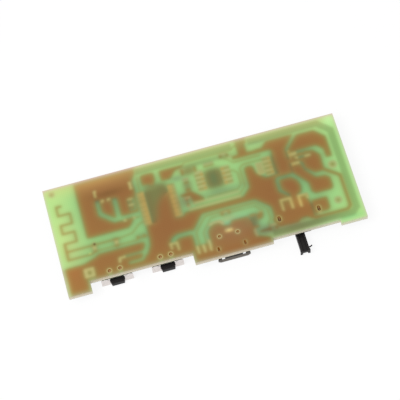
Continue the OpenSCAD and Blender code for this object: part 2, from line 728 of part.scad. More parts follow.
module charger_chip_leads() {
    color("silver")
        chip_leads(charger_x, charger_y, 4, small_chip_pitch, small_chip_w, small_chip_span, small_chip_h, 0.42, 0.2);
}

// Crystal

module crystal_base() {
    color("#3a3a3c") component_side() translate([crystal_x, crystal_y, 0.15]) linear_extrude(crystal_base_t - 0.15)
        difference() {
            square([crystal_base_l, crystal_w + 0.3], center = true);
            for (sx = [-1, 1], sy = [-1, 1])
                translate([sx * crystal_base_l / 2, sy * (crystal_w + 0.3) / 2]) rotate(45)
                    square(0.7, center = true);
        }
}

module crystal_can() {
    rim_t = 0.25;
    color("#c9ccd0") component_side() translate([crystal_x, crystal_y, crystal_base_t]) {
        linear_extrude(rim_t) rotate(90) slot_2d(crystal_w, crystal_l);
        translate([0, 0, rim_t]) linear_extrude(crystal_h - crystal_base_t - rim_t)
            rotate(90) slot_2d(crystal_w - 0.5, crystal_l - 0.5);
    }
}

module crystal_terminals() {
    foot = 1.1;
    strap_t = 0.15;
    color("silver") component_side() for (side = [-1, 1])
        translate([crystal_x + side * (crystal_l / 2 - crystal_foot_in) - foot / 2, crystal_y - 0.3, 0])
            cube([foot, 0.6, strap_t]);
}

// Small two-ended parts

module at_part(part) {
    translate([part[0], part[1], 0]) rotate(part[2]) children();
}

module capacitor_bodies() {
    color("#a98a63") component_side() for (c = capacitors) at_part(c)
        translate([0, 0, c[5] / 2]) cube([c[3] - 2 * end_cap_l, c[4] - 0.1, c[5] - 0.1], center = true);
}

module resistor_bodies() {
    color("#1d1f22") component_side() for (r = resistors) at_part(r)
        translate([0, 0, r[5] / 2]) cube([r[3] - 2 * end_cap_l, r[4] - 0.1, r[5] - 0.1], center = true);
}

module end_caps() {
    color("#d5d7da") component_side() for (p = concat(capacitors, resistors)) at_part(p) for (side = [-1, 1])
        translate([side * (p[3] - end_cap_l) / 2, 0, p[5] / 2]) cube([end_cap_l, p[4], p[5]], center = true);
}

// Solder

// Low cone of solder round a leg or terminal
module solder_cone(d, h) {
    cylinder(d1 = d, d2 = d * 0.55, h = h);
}

module solder_joints() {
    slide_heap = 0.5;
    socket_heap = 0.25;
    color("#cfd3d6") component_side() {
        difference() {
            at_slide_legs() solder_cone(slide_heap_d, slide_heap);
            at_slide_legs() cube([frame_t, slide_leg_w, 4 * slide_heap], center = true);
            // The heap stops at the wall of the frame
            translate([slide_x, slide_leg_y, 0])
                cube([slide_w + 2 * clearance, 4 * slide_leg_w, 4 * slide_heap], center = true);
        }
        difference() {
            at_socket_legs() solder_cone(socket_heap_d, socket_heap);
            at_socket_legs() cube([shell_t, socket_leg_w, 4 * socket_heap], center = true);
        }
    }
}

// Charging socket

// Section of the shell, in X and height: narrow on the board's side
module shell_section(inset = 0) {
    half = socket_w / 2 - inset;
    narrow = shell_narrow_w / 2 - inset * 0.6;
    low = shell_lift + inset;
    high = shell_lift + socket_h - inset;
    shoulder = shell_lift + shell_shoulder_h;
    polygon([
        [-narrow, low], [-half, shoulder], [-half, high - shell_bevel], [-half + shell_bevel, high],
        [half - shell_bevel, high], [half, high - shell_bevel], [half, shoulder], [narrow, low]
    ]);
}

module along_y(from, to) {
    translate([0, to, 0]) rotate([90, 0, 0]) linear_extrude(to - from) children();
}

// Half of a spreading wall: across it at v, along Y, carried on past both ends by the share over
function spread_wall(v, over) = [
    [0, mouth_y - over * lip_l], [v + lip_flare * (1 + over), mouth_y - over * lip_l],
    [v - lip_flare * over, mouth_y + lip_l * (1 + over)], [0, mouth_y + lip_l * (1 + over)]
];

// Room inside the spreading mouth, from height low away from the board
module mouth_room(inset, low, over = 0) {
    half = socket_w / 2 - inset;
    high = shell_lift + socket_h - inset;
    corner = (half + high - shell_bevel) / sqrt(2);
    intersection() {
        translate([0, 0, low]) linear_extrude(2 * socket_h) {
            polygon(spread_wall(half, over));
            mirror([1, 0]) polygon(spread_wall(half, over));
        }
        rotate([0, -90, 0]) linear_extrude(2 * socket_w, center = true) polygon(spread_wall(high, over));
        mouth_corner(corner, over, 0);
        mouth_corner(corner, over, 1);
    }
}

module mouth_corner(corner, over, side) {
    mirror([side, 0, 0]) rotate([0, -45, 0]) linear_extrude(4 * socket_w, center = true) {
        polygon(spread_wall(corner, over));
        translate([-2 * socket_w, mouth_y - over * lip_l])
            square([2 * socket_w + 0.1, lip_l * (1 + 2 * over)]);
    }
}

// The mouth spreads outwards, but for its side by the board
module shell_lip() {
    low = shell_lift + shell_shoulder_h;
    difference() {
        mouth_room(0, low);
        mouth_room(shell_t, low - cut, 0.2);
    }
}

module shell_leg() {
    top = shell_shoulder_h * 0.75;
    translate([-shell_t / 2, -socket_leg_w / 2, -board_t - pad_depth + leg_sink])
        cube([shell_t, socket_leg_w, board_t + pad_depth - leg_sink + top]);
}

module socket_shell() {
    window_w = 0.75;
    window_from = mouth_y + lip_l;
    window_l = 2.6;
    high = shell_lift + socket_h;
    back_open_l = 1.1;
    color("#6f6c68") component_side() {
        translate([socket_x, 0, 0]) {
            difference() {
                along_y(mouth_y + lip_l, socket_back_y) difference() {
                    shell_section();
                    shell_section(shell_t);
                }
                // Windows of the two spring fingers in the wall away from the board
                for (side = [-1, 1]) translate([side * shell_window_x - window_w / 2, window_from, high - shell_t - clearance])
                    cube([window_w, window_l, shell_t + 2 * clearance]);
                // The wall on the board's side stops short of the rear pegs
                translate([-socket_w, socket_back_y - back_open_l, -cut])
                    cube([2 * socket_w, back_open_l + cut, cut + shell_lift + shell_t + 0.2]);
            }
            shell_lip();
            // Spring fingers lie in their windows, fixed at the rear
            for (side = [-1, 1]) translate([side * shell_window_x - (window_w - 0.25) / 2, window_from + 0.8, high - shell_t])
                cube([window_w - 0.25, window_l - 0.8, shell_t * 0.8]);
        }
        at_socket_legs() shell_leg();
    }
}

module socket_tongue() {
    block_y = socket_back_y - tongue_block_l;
    inner = shell_t + clearance;
    tongue_nose = 0.15;
    color("#1b1a1a") component_side() {
        translate([socket_x, 0, 0]) {
            along_y(block_y, socket_back_y - 0.1) shell_section(inner);
            translate([-tongue_w / 2, 0, 0]) rotate([90, 0, 90]) linear_extrude(tongue_w) polygon([
                [tongue_front_y, tongue_low + tongue_nose], [tongue_front_y, tongue_low + tongue_t - tongue_nose],
                [tongue_front_y + tongue_nose, tongue_low + tongue_t], [block_y + 0.2, tongue_low + tongue_t],
                [block_y + 0.2, tongue_low], [tongue_front_y + tongue_nose, tongue_low]
            ]);
        }
        at_socket_pegs() translate([0, 0, -board_t - pad_depth + peg_sink])
            cylinder(d = socket_peg_d, h = board_t + pad_depth - peg_sink + shell_lift + shell_t + 2 * clearance);
        translate([socket_x - tongue_w / 2 - tongue_block_side, socket_peg_y - 0.5, clearance])
            cube([tongue_w + 2 * tongue_block_side, socket_back_y - 0.1 - socket_peg_y + 0.5, shell_lift + inner]);
    }
}

module socket_contacts() {
    blade_from = tongue_front_y + 0.35;
    blade_low = tongue_low - contact_t;
    back = socket_back_y - tongue_block_l;
    color("#d8b45a") component_side() for (i = [0 : contact_count - 1])
        translate([socket_x + (i - (contact_count - 1) / 2) * contact_pitch - contact_w / 2, 0, 0]) {
            translate([0, blade_from, blade_low]) cube([contact_w, back - blade_from, contact_t]);
            translate([0, socket_back_y - 0.1, 0]) rotate([90, 0, 90]) linear_extrude(contact_w) polygon([
                [0, contact_knee_h], [0, contact_knee_h + contact_t], [0.35, contact_knee_h + contact_t],
                [0.6, contact_t], [contact_tail_l, contact_t], [contact_tail_l, 0], [0.5, 0],
                [0.28, contact_knee_h]
            ]);
        }
}

// Push buttons

module left_button_housing() {
    color("#1c1c1e") button_housing(left_button_x);
}

module right_button_housing() {
    color("#1c1c1e") button_housing(right_button_x);
}

module button_housing(x) {
    front = plate_y + plate_t + clearance;
    back = button_back_y;
    pocket_w = plunger_flange_w + 2 * running_gap;
    pocket_h = plunger_h + 0.5;
    pocket_d = dome_seat_y - front;
    color("#1c1c1e") component_side() translate([x, 0, 0]) {
        difference() {
            translate([-button_base_w / 2, front, 0.08])
                cube([button_base_w, back - front, button_h - 0.08 - plate_t - clearance]);
            translate([-pocket_w / 2, front - cut, button_mid_h - pocket_h / 2])
                cube([pocket_w, pocket_d + cut, pocket_h]);
            for (side = [-1, 1]) translate([side * button_terminal_x, back, 0])
                cube([button_terminal_w + 2 * clearance, 1.0, 1.2], center = true);
        }
        for (side = [-1, 1]) translate([side * button_peg_pitch / 2, button_peg_y, -board_t - pad_depth + peg_sink])
            cylinder(d = button_peg_d, h = board_t + pad_depth - peg_sink + 0.2);
    }
}

// Front plate in X and height: two round-topped ears and a window for the plunger
module plate_section() {
    half = button_w / 2;
    window_half = plunger_w / 2 + 0.12;
    window_low = 0.12;
    window_low_half = window_half - 0.3;
    window_high = button_mid_h + plunger_h / 2 + 0.1;
    ear_r = ear_w / 2;
    ear_x = half - ear_r;
    slit = 0.1;
    difference() {
        union() {
            for (side = [-1, 1]) {
                translate([side * ear_x, button_h - ear_h]) circle(r = ear_r);
                translate([side * ear_x - ear_r, button_h - ear_h]) square([ear_w, ear_h]);
            }
            translate([-ear_x, 0.1]) square([2 * ear_x, button_h - 0.1]);
        }
        polygon([
            [-window_low_half, window_low], [window_low_half, window_low], [window_half, window_low + 0.6],
            [window_half, window_high], [-window_half, window_high], [-window_half, window_low + 0.6]
        ]);
        // Arched slit that sets each ear off from the plate
        for (side = [-1, 1]) translate([side * ear_x, button_h - ear_h]) difference() {
            circle(r = ear_r + slit);
            circle(r = ear_r);
            translate([-2 * ear_r, 0]) square([4 * ear_r, 2 * ear_r]);
        }
    }
}

module button_plate(x) {
    color("#d9dadd") component_side() translate([x, 0, 0]) {
        along_y(plate_y, plate_y + plate_t) plate_section();
        // The cover runs back over the housing
        translate([-button_base_w / 2, plate_y, button_h - plate_t])
            cube([button_base_w, button_d - 0.2, plate_t]);
        // Two clips hold the housing's sides
        for (side = [-1, 1]) translate([side * (button_base_w / 2 + plate_t / 2 + clearance) - plate_t / 2, plate_y + 0.9, 1.6])
            cube([plate_t, 1.2, button_h - 1.6]);
        for (side = [-1, 1]) translate([side * (button_base_w / 2 + plate_t / 2) - plate_t, plate_y + 0.9, button_h - plate_t])
            cube([2 * plate_t, 1.2, plate_t]);
    }
}

module left_button_plate() {
    button_plate(left_button_x);
}

module right_button_plate() {
    button_plate(right_button_x);
}

module button_plunger(x) {
    root = plunger_flange_y + plunger_flange_t / 2;
    tip = plate_y - plunger_out;
    color("#161617") component_side() translate([x, 0, button_mid_h]) {
        difference() {
            translate([0, 0, -plunger_h / 2]) linear_extrude(plunger_h) polygon([
                [-plunger_w / 2, root], [-plunger_w / 2, plate_y - plunger_out * 0.35], [-plunger_tip_w / 2, tip],
                [plunger_tip_w / 2, tip], [plunger_w / 2, plate_y - plunger_out * 0.35], [plunger_w / 2, root]
            ]);
            // Bevel along the tip, on the side towards the board
            translate([0, tip, -plunger_h / 2]) rotate([45, 0, 0])
                cube([2 * plunger_w, plunger_bevel * sqrt(2), plunger_bevel * sqrt(2)], center = true);
        }
        translate([-plunger_flange_w / 2, plunger_flange_y, -plunger_h / 2 - 0.1])
            cube([plunger_flange_w, plunger_flange_t, plunger_h + 0.2]);
        translate([0, plunger_flange_y + plunger_flange_t + nib_l, 0]) rotate([90, 0, 0])
            cylinder(d = 0.9, h = 2 * nib_l);
    }
}

module left_button_plunger() {
    button_plunger(left_button_x);
}

module right_button_plunger() {
    button_plunger(right_button_x);
}

// Snap dome: a thin cap of a sphere, hollow towards the back of the housing
module button_dome(x) {
    ball_r = (dome_r * dome_r + dome_rise * dome_rise) / (2 * dome_rise);
    half_angle = asin(dome_r / ball_r);
    steps = 6;
    color("#c7a46a") component_side() translate([x, dome_seat_y - dome_t, button_mid_h]) rotate([90, 0, 0])
        intersection() {
            rotate_extrude() polygon(concat(
                [for (i = [0 : steps]) let (a = half_angle * i / steps)
                    [ball_r * sin(a), ball_r * cos(a) - ball_r + dome_rise]],
                [for (i = [steps : -1 : 0]) let (a = half_angle * i / steps)
                    [(ball_r - dome_t) * sin(a), (ball_r - dome_t) * cos(a) - ball_r + dome_rise]]
            ));
            cube([4 * dome_r, plunger_h + 0.3, 4 * dome_rise], center = true);
        }
}

module left_button_dome() {
    button_dome(left_button_x);
}

module right_button_dome() {
    button_dome(right_button_x);
}

module button_terminals(x) {
    t = 0.15;
    rise = 0.55;
    start = button_back_y - 0.45;
    end = button_foot_y + 0.1;
    color("silver") component_side() for (side = [-1, 1])
        translate([x + side * button_terminal_x - button_terminal_w / 2, 0, 0])
            rotate([90, 0, 90]) linear_extrude(button_terminal_w) polygon([
                [start, rise - t], [start, rise], [button_back_y - 0.1, rise], [button_back_y + 0.05, t],
                [end, t], [end, 0], [button_back_y - 0.08, 0], [button_back_y - 0.22, rise - t]
            ]);
}

module left_button_terminals() {
    button_terminals(left_button_x);
}

module right_button_terminals() {
    button_terminals(right_button_x);
}

// Slide switch

module slide_leg() {
    out = (slide_leg_pitch + frame_t) / 2;
    wall = slide_w / 2 - frame_t;
    end = -board_t - pad_depth + 0.15;
    difference() {
        translate([0, slide_leg_w / 2, 0]) rotate([90, 0, 0]) linear_extrude(slide_leg_w) polygon([
            [wall, 0.7], [wall, 0.7 + frame_t], [out, 0.7 + frame_t],
            [out, end], [out - frame_t, end], [out - frame_t, 0.7]
        ]);
        // The end is a point towards the far edge
        translate([out, slide_leg_w / 2 - 0.3, end]) rotate([0, -90, 0]) linear_extrude(4 * frame_t, center = true)
            polygon([[-cut, 0], [0, 0], [leg_sink, -slide_leg_w], [-cut, -slide_leg_w]]);
    }
}

module switch_frame() {
    slot_w = lever_w + lever_travel + 2 * 0.15;
    slot_h = lever_h + 2 * 0.15;
    lift = slide_lift;
    color("#c3c6c9") component_side() translate([slide_x, 0, 0]) {
        difference() {
            translate([-slide_w / 2, slide_front_y, lift]) cube([slide_w, slide_d, slide_h - lift]);
            translate([-slide_w / 2 + frame_t, slide_front_y + frame_t, lift + frame_t])
                cube([slide_w - 2 * frame_t, slide_d, slide_h - lift - 2 * frame_t]);
            translate([-slot_w / 2, slide_front_y - cut, lever_mid_h - slot_h / 2]) cube([slot_w, 2 * cut, slot_h]);
        }
        for (side = [0, 1]) mirror([side, 0, 0]) translate([0, slide_leg_y, 0]) slide_leg();
    }
}

module switch_insulator() {
    inner_w = slide_w - 2 * frame_t - 2 * clearance;
    inner_low = slide_lift + frame_t + clearance;
    inner_high = slide_h - frame_t - clearance;
    front = slide_back_y - insulator_d;
    color("#241f1c") component_side() translate([slide_x, 0, 0]) difference() {
        translate([-inner_w / 2, front, inner_low]) cube([inner_w, insulator_d - 0.05, inner_high - inner_low]);
        for (i = [-1 : 1]) translate([i * slide_pin_pitch, front, lever_mid_h])
            cube([switch_terminal_w + 2 * clearance, 3 * insulator_d, switch_terminal_t + 2 * clearance], center = true);
    }
}

module switch_terminals() {
    t = switch_terminal_t;
    front = slide_back_y - insulator_d - 0.1;
    knee = slide_back_y + 0.3;
    foot = slide_back_y + 2.2;
    height = lever_mid_h;
    color("silver") component_side() for (i = [-1 : 1])
        translate([slide_x + i * slide_pin_pitch - switch_terminal_w / 2, 0, 0])
            rotate([90, 0, 90]) linear_extrude(switch_terminal_w) polygon([
                [front, height - t / 2], [front, height + t / 2], [knee + t, height + t / 2], [knee + t, t],
                [foot, t], [foot, 0], [knee, 0], [knee, height - t / 2]
            ]);
}

// Lever arm: two flanges and a thinner, slightly shorter web
module lever_arm() {
    tip = slide_front_y - lever_l;
    root = slide_front_y + frame_t + running_gap;
    foot = 0.18;
    for (side = [0, 1]) mirror([side, 0, 0])
        translate([0, 0, -lever_h / 2]) linear_extrude(lever_h) polygon([
            [lever_w / 2 - lever_flange_t, root + 0.2], [lever_w / 2, root + 0.2],
            [lever_w / 2, tip + 0.6], [lever_w / 2 + foot, tip + 0.15], [lever_w / 2 + foot * 0.6, tip],
            [lever_w / 2 - lever_flange_t * 0.9, tip + 0.05], [lever_w / 2 - lever_flange_t, tip + 0.5]
        ]);
    translate([-lever_w / 2 + lever_flange_t / 2, tip + lever_web_short, -lever_web_t / 2])
        cube([lever_w - lever_flange_t, root + 0.2 - tip - lever_web_short, lever_web_t]);
    // Rib beside the root, in front of the frame
    translate([lever_w / 2 - 0.1, slide_front_y - running_gap - lever_rib_l, -lever_web_t / 2])
        cube([lever_rib_w + 0.1, lever_rib_l, lever_web_t]);
}

// Thin whisker of flash that the moulding left beside the tip
module lever_flash() {
    tip = slide_front_y - lever_l;
    linear_extrude(0.25) strip(
        [[lever_w / 2 - 0.1, tip + 1.3], [lever_w / 2 + 0.45, tip + 1.3], [lever_w / 2 + 0.95, tip + 1.55]], 0.25
    );
}

module switch_lever() {
    slider_y = slide_front_y + frame_t + running_gap;
    color("#141414") component_side() translate([slide_x + lever_rest, 0, lever_mid_h]) {
        lever_arm();
        translate([0, 0, 0.2]) lever_flash();
        difference() {
            translate([-slider_w / 2, slider_y, -slider_h / 2]) cube([slider_w, slider_d, slider_h]);
            translate([-(wiper_room_w + slide_pin_pitch) / 2, slider_y + slider_d - wiper_room_d, -wiper_room_h / 2])
                cube([wiper_room_w + slide_pin_pitch, cut, wiper_room_h]);
        }
    }
}

// Bridge contact carried by the slider: it joins two neighbouring terminals
module switch_wiper() {
    slider_y = slide_front_y + frame_t + running_gap;
    t = 0.12;
    seat = slider_y + slider_d - wiper_room_d;
    reach = slide_back_y - insulator_d - 0.1 - running_gap;
    half = slide_pin_pitch / 2;
    color("#c9a35e") component_side() translate([slide_x + lever_rest, 0, lever_mid_h - 0.5])
        linear_extrude(1.0) strip([
            [-half - 0.6, seat + 0.1], [-half, reach - t / 2], [-half + 0.6, seat + 0.1],
            [half - 0.6, seat + 0.1], [half, reach - t / 2], [half + 0.6, seat + 0.1]
        ], t);
}

laminate();
copper_foil();
solder_mask();
ink_band();
pad_tin();
solder_joints();
socket_shell();
socket_tongue();
socket_contacts();
left_button_housing();
left_button_plate();
left_button_plunger();
left_button_dome();
left_button_terminals();
right_button_housing();
right_button_plate();
right_button_plunger();
right_button_dome();
right_button_terminals();
switch_frame();
switch_insulator();
switch_terminals();
switch_lever();
switch_wiper();
radio_chip_body();
radio_chip_leads();
amplifier_chip_body();
amplifier_chip_leads();
charger_chip_body();
charger_chip_leads();
crystal_can();
crystal_base();
crystal_terminals();
capacitor_bodies();
resistor_bodies();
end_caps();
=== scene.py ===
# Small wireless audio amplifier board, lying with its bare laminate up.
# The copper, mask and chips below the laminate show through it, softened by the glass cloth.
import math

import bmesh
import bpy
import numpy as np
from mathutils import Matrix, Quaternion, Vector
from mathutils.bvhtree import BVHTree


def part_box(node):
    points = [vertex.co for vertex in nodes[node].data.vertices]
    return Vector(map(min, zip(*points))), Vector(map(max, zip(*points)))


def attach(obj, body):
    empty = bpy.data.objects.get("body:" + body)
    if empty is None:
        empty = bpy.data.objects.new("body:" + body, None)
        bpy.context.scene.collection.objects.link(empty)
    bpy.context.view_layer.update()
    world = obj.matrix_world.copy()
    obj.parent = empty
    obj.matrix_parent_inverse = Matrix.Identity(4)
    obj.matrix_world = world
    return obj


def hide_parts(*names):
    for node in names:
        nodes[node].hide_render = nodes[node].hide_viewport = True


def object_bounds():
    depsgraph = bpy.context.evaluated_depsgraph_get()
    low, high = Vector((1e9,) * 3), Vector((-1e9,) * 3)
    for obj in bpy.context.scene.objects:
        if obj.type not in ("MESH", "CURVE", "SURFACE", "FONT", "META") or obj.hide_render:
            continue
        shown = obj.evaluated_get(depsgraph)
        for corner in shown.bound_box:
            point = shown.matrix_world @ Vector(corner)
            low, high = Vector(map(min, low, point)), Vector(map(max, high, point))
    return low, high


MM = 0.001

# Camera: where it stands round the board, and how it is turned about its own line of sight
CAMERA_AZIMUTH = math.radians(-6.87)
CAMERA_ELEVATION = math.radians(64.2)
CAMERA_DISTANCE = 394.3 * MM
CAMERA_ROLL = math.radians(-8.98)
CAMERA_AIM = Vector((-0.5, 1.1, 0)) * MM
LENS_MM = 146.4
SENSOR_MM = 36

# Studio: a soft lamp from the near left, and how strongly the white surround lights the board
LAMP_PLACE_MM = (-250, -150, 500)
LAMP_SIZE_MM = 300
LAMP_WATTS = 1.7
WORLD_LEVEL = 0.52
# The paper: half its width in metres, and the share and strength of the glow that keeps it white
FLOOR_REACH = 1.5
FLOOR_GLOW = 0.86
FLOOR_GLOW_STRENGTH = 1.04

# How finely the bare face, the routed edge and the maps are divided, and how far the maps go past
# the board
FACE_PITCH = 0.2 * MM
WALL_PITCH = 1.0 * MM
MAP_PITCH = 0.1 * MM
MAP_MARGIN = 3 * MM

# Points closer than the first are one point, and a side is level within the second
MERGE_DISTANCE = 1e-7
LEVEL_WITHIN = 1e-6
# How much of a face's normal is height: more than the first where it looks up or down, and less
# than the second where it stands upright
FACING = 0.9
UPRIGHT = 0.5

# Walls of holes stand this far inside the board and have no longer side. A round hole is as wide as
# it is deep.
HOLES_INSIDE = 1.0 * MM
LONGEST_HOLE_SIDE = 1.3 * MM
ROUND_WITHIN = 0.1 * MM

# How far the laminate spreads what lies below it, and the light that comes up through it
CLOTH_BLUR = 0.27 * MM
FINE_LEADS_BLUR = 0.42 * MM
WIDE_LEADS_BLUR = 0.25 * MM
BODY_BLUR = 0.85 * MM
NEAR_LIGHT = 0.7 * MM
BROAD_LIGHT = 4.0 * MM
RIM_BLUR = 0.5 * MM
FAR_EDGE_BLUR = 2.5 * MM
# The board with its holes filled: where this share of the board lies within this blur
OUTLINE_BLUR = 1.0 * MM
OUTLINE_SHARE = 0.65
# Keeps a share of nothing from being worked out
LEAST_SHARE = 1e-6

# Colours seen through the laminate: in shade, with light from close by, with light from further off
COPPER_BELOW = ("#98723E", "#8DA059", "#A48443")
MASK_BELOW = ("#72603C", "#88BA7A", "#A5AA5E")
BARE_RESIN = ("#C6B871", "#AEA868", "#C8D18A")
# The shares of near and broad light at which those colours hold
SHADE_LIGHT = (0.1, 0.3)
FULL_LIGHT = (0.9, 0.9)

# The chips show as a greenish shade, and the small bodies as this much of it
CHIP_BELOW = "#7C7E4A"
SMALL_BODY_SHARE = 0.7
# The printed ink on the mask, and how much of it shows
INK_BELOW = "#6F8648"
INK_DEPTH = 0.5
# Leads on their solder: the fine ones run together in one golden row, the wide ones are fainter
LEADS_BELOW = "#FABC60"
FINE_LEADS_GAIN = 1.35
WIDE_LEADS_SHARE = 0.7
# Pale ring of broken fibres round each drilled hole
PALE_RING = "#C4B47C"
RING_WIDTH = 0.26 * MM
# Painted light that comes in at the edges and shows as a pale rim, and how strong it is along the
# far edge, the two ends and the near edge
RIM_LIGHT = "#EECAD0"
RIM_GAINS = (1.4, 0.9, 0.35)
# Painted warm light that comes in at the far edge
FAR_EDGE_GLOW = "#F0C484"
# How far from the edges the resin takes the colour of the copper next to it, and how much of it at
# the near edge, the far edge and the two ends
EDGE_COPPER = 0.7 * MM
EDGE_COPPER_SHARES = (1.0, 0.7, 0.5, 0.5)

# Pitch of the glass cloth, and how fast Blender's wave runs at a scale of one, in radians a metre
CLOTH_PITCH = 0.5 * MM
WAVE_STEEPNESS = 20
# The cloth's darkest and brightest tone, and its height under the resin
CLOTH_TONES = (0.975, 1.02)
CLOTH_RELIEF = 0.004 * MM

# Routed edge: size and height of the broken fibres, and how much of the face's colour they take
# at the lower and the upper side of the board
BOARD_THICKNESS = 1.5 * MM
FIBRE_SIZE = 0.25 * MM
FIBRE_RELIEF = 0.03 * MM
FACE_COLOUR_SHARES = (0.05, 0.65)

# Flux stains what stands in a hole above this height, fully this much further up
STAIN_FROM = -1.35 * MM
STAIN_RISE = 0.15 * MM
# Share of the light that passes the solder mask, and the size of its cloudy patches
MASK_CLEARNESS = 0.4
MASK_CLOUDS = 1.5 * MM

# Painted shade and light, with a few real marks, laid on the laminate's colour in patches: middle
# and reach in mm from the near left corner, and the change of the red, green and blue light
LIGHTING_AND_TINT_PATCHES = [
    # Far edge and antenna end: painted warm light on the left, darker along the ink, brighter and
    # bluer in the right corner
    (2.6, 13.5, 2.8, 7.5, (0.3, 0.02, 0.06)),
    (14.0, 27.6, 5.0, 1.0, (0.12, 0.1, 0.0)),
    (36.0, 27.2, 11.0, 0.8, (-0.12, -0.02, -0.02)),
    (72.6, 28.0, 1.2, 1.4, (0.1, 0.24, 0.45)),
    # Near edge: painted shade at the socket and the switch, darker at the right corner, paler in the
    # left one
    (42.0, 0.5, 8.0, 0.8, (0.0, -0.2, -0.2)),
    (55.2, 3.0, 3.2, 0.8, (-0.06, -0.3, -0.22)),
    (56.5, 1.3, 5.0, 0.55, (-0.19, -0.3, -0.34)),
    (70.0, 1.0, 2.2, 0.5, (-0.2, -0.09, -0.03)),
    (0.5, 2.8, 0.55, 2.6, (0.28, 0.3, 0.5)),
    # The neck of copper at the far edge, and the gap to its right
    (49.6, 27.8, 1.2, 1.4, (-0.12, 0.14, 0.1)),
    (53.5, 26.7, 2.0, 0.5, (-0.15, -0.15, -0.1)),
    # Shade along the recess at the switch
    (60.5, 2.3, 5.5, 0.8, (-0.16, -0.3, -0.24)),
    # Shade over and round the amplifier chip, and at the small parts left of it
    (40.0, 25.5, 5.0, 0.6, (-0.3, -0.35, -0.35)),
    (42.0, 16.6, 3.5, 0.7, (-0.24, -0.32, -0.22)),
    (33.0, 16.4, 1.6, 1.5, (-0.15, -0.38, -0.3)),
    (32.5, 23.0, 1.2, 0.7, (-0.22, -0.32, -0.2)),
    (41.2, 20.4, 0.8, 1.7, (-0.22, 0.0, 0.1)),
    (34.8, 21.2, 1.3, 1.6, (-0.1, -0.18, -0.12)),
    # Shade of the crystal
    (15.5, 24.0, 2.8, 0.7, (-0.22, -0.2, -0.25)),
    # Shade to the right of the socket and at its two legs, and rosier copper over and behind it
    (49.6, 3.6, 2.1, 1.3, (-0.3, -0.42, -0.32)),
    (37.5, 2.05, 0.32, 0.55, (-0.12, -0.28, -0.28)),
    (44.0, 2.1, 0.32, 0.55, (-0.12, -0.28, -0.28)),
    (42.0, 6.0, 4.0, 2.5, (0.04, 0.12, 0.55)),
    # Light that comes up past the far end of the radio chip and behind the socket, and a warm
    # spot behind that
    (25.6, 22.1, 1.9, 0.5, (0.1, 0.28, 0.3)),
    (46.3, 6.6, 1.5, 1.1, (-0.1, 0.12, 0.25)),
    (37.7, 7.3, 0.9, 0.9, (-0.05, 0.14, 0.22)),
    (41.5, 9.0, 1.5, 0.6, (0.26, -0.1, -0.16)),
    # Bright tin at the switch, to the left of the socket and behind it
    (59.5, 8.5, 1.6, 1.2, (0.3, 0.12, 0.0)),
    (34.5, 3.0, 1.8, 0.8, (0.12, 0.1, 0.1)),
    (41.25, 5.85, 0.8, 0.4, (0.7, 0.75, 0.7)),
    # A dark and a pale pin-prick on the tracks of the antenna
    (9.1, 11.7, 0.22, 0.22, (-0.6, -0.7, -0.7)),
    (7.5, 9.6, 0.25, 0.25, (0.3, 0.2, 0.1)),
]

# What the maps are made from, by CAD node
CHIP_BODIES = ["radio_chip_body", "amplifier_chip_body", "charger_chip_body"]
WIDE_LEADS = ["amplifier_chip_leads", "charger_chip_leads"]
SMALL_BODIES = ["capacitor_bodies", "resistor_bodies"]
LARGE_BODIES = [
    "crystal_base", "left_button_housing", "right_button_housing", "socket_shell", "switch_frame",
]

# Material slots of the laminate
BARE_FACE, ROUTED_EDGE, HOLE_WALL, UNDERSIDE = range(4)

# The output of a mix node that gives its colour
MIXED_COLOUR = 2

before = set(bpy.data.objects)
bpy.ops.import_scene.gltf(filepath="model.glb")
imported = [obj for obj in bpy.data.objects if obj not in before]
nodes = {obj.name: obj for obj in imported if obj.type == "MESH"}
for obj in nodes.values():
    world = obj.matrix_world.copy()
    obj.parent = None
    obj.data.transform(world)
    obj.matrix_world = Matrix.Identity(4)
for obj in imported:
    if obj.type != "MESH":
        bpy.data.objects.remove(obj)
cad_low, cad_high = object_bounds()


# Colours and node trees

def linear(hex_code):
    """An sRGB hex code as a linear colour with alpha."""
    values = [int(hex_code[i:i + 2], 16) / 255 for i in (1, 3, 5)]
    return [v / 12.92 if v <= 0.04045 else ((v + 0.055) / 1.055) ** 2.4 for v in values] + [1]


def add_node(tree, kind, settings=None, links=None, **properties):
    """Adds a node. Settings are values by socket, links are (node, output) pairs by socket."""
    node = tree.nodes.new(kind)
    for name, value in properties.items():
        setattr(node, name, value)
    for name, value in (settings or {}).items():
        node.inputs[name].default_value = value
    for name, (source, output) in (links or {}).items():
        tree.links.new(source.outputs[output], node.inputs[name])
    return node


def new_material(name):
    """A material with an empty tree, and that tree."""
    material = bpy.data.materials.new(name)
    material.use_nodes = True
    material.node_tree.nodes.clear()
    return material, material.node_tree


def finish_material(tree, settings, links):
    """Ends the tree in one surface with these settings and links."""
    surface = add_node(tree, "ShaderNodeBsdfPrincipled", settings, links)
    add_node(tree, "ShaderNodeOutputMaterial", links={"Surface": (surface, "BSDF")})


# Maps of what lies below the laminate

def search_tree(name):
    """The CAD node's triangles, ready to be met by rays."""
    mesh = nodes[name].data
    points = [v.co for v in mesh.vertices]
    return BVHTree.FromPolygons(points, [tuple(p.vertices) for p in mesh.polygons])


def seen_from_above(names, xs, ys):
    """A map of ones where a ray from above the board meets one of the nodes."""
    found = np.zeros((len(ys), len(xs)))
    down = Vector((0, 0, -1))
    top = cad_high.z + MM
    for name in names:
        tree = search_tree(name)
        low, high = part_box(name)
        for row in np.flatnonzero((ys > low.y) & (ys < high.y)):
            for column in np.flatnonzero((xs > low.x) & (xs < high.x)):
                if tree.ray_cast(Vector((xs[column], ys[row], top)), down)[0]:
                    found[row, column] = 1
    return found


def spread(grid, reach):
    """The map blurred as light is in the glass cloth: reach is the standard deviation in metres."""
    half = int(3 * reach / MAP_PITCH)
    weights = np.exp(-0.5 * (np.arange(-half, half + 1) * MAP_PITCH / reach) ** 2)
    weights /= weights.sum()
    for axis in (0, 1):
        grid = np.apply_along_axis(np.convolve, axis, grid, weights, mode="same")
    return grid


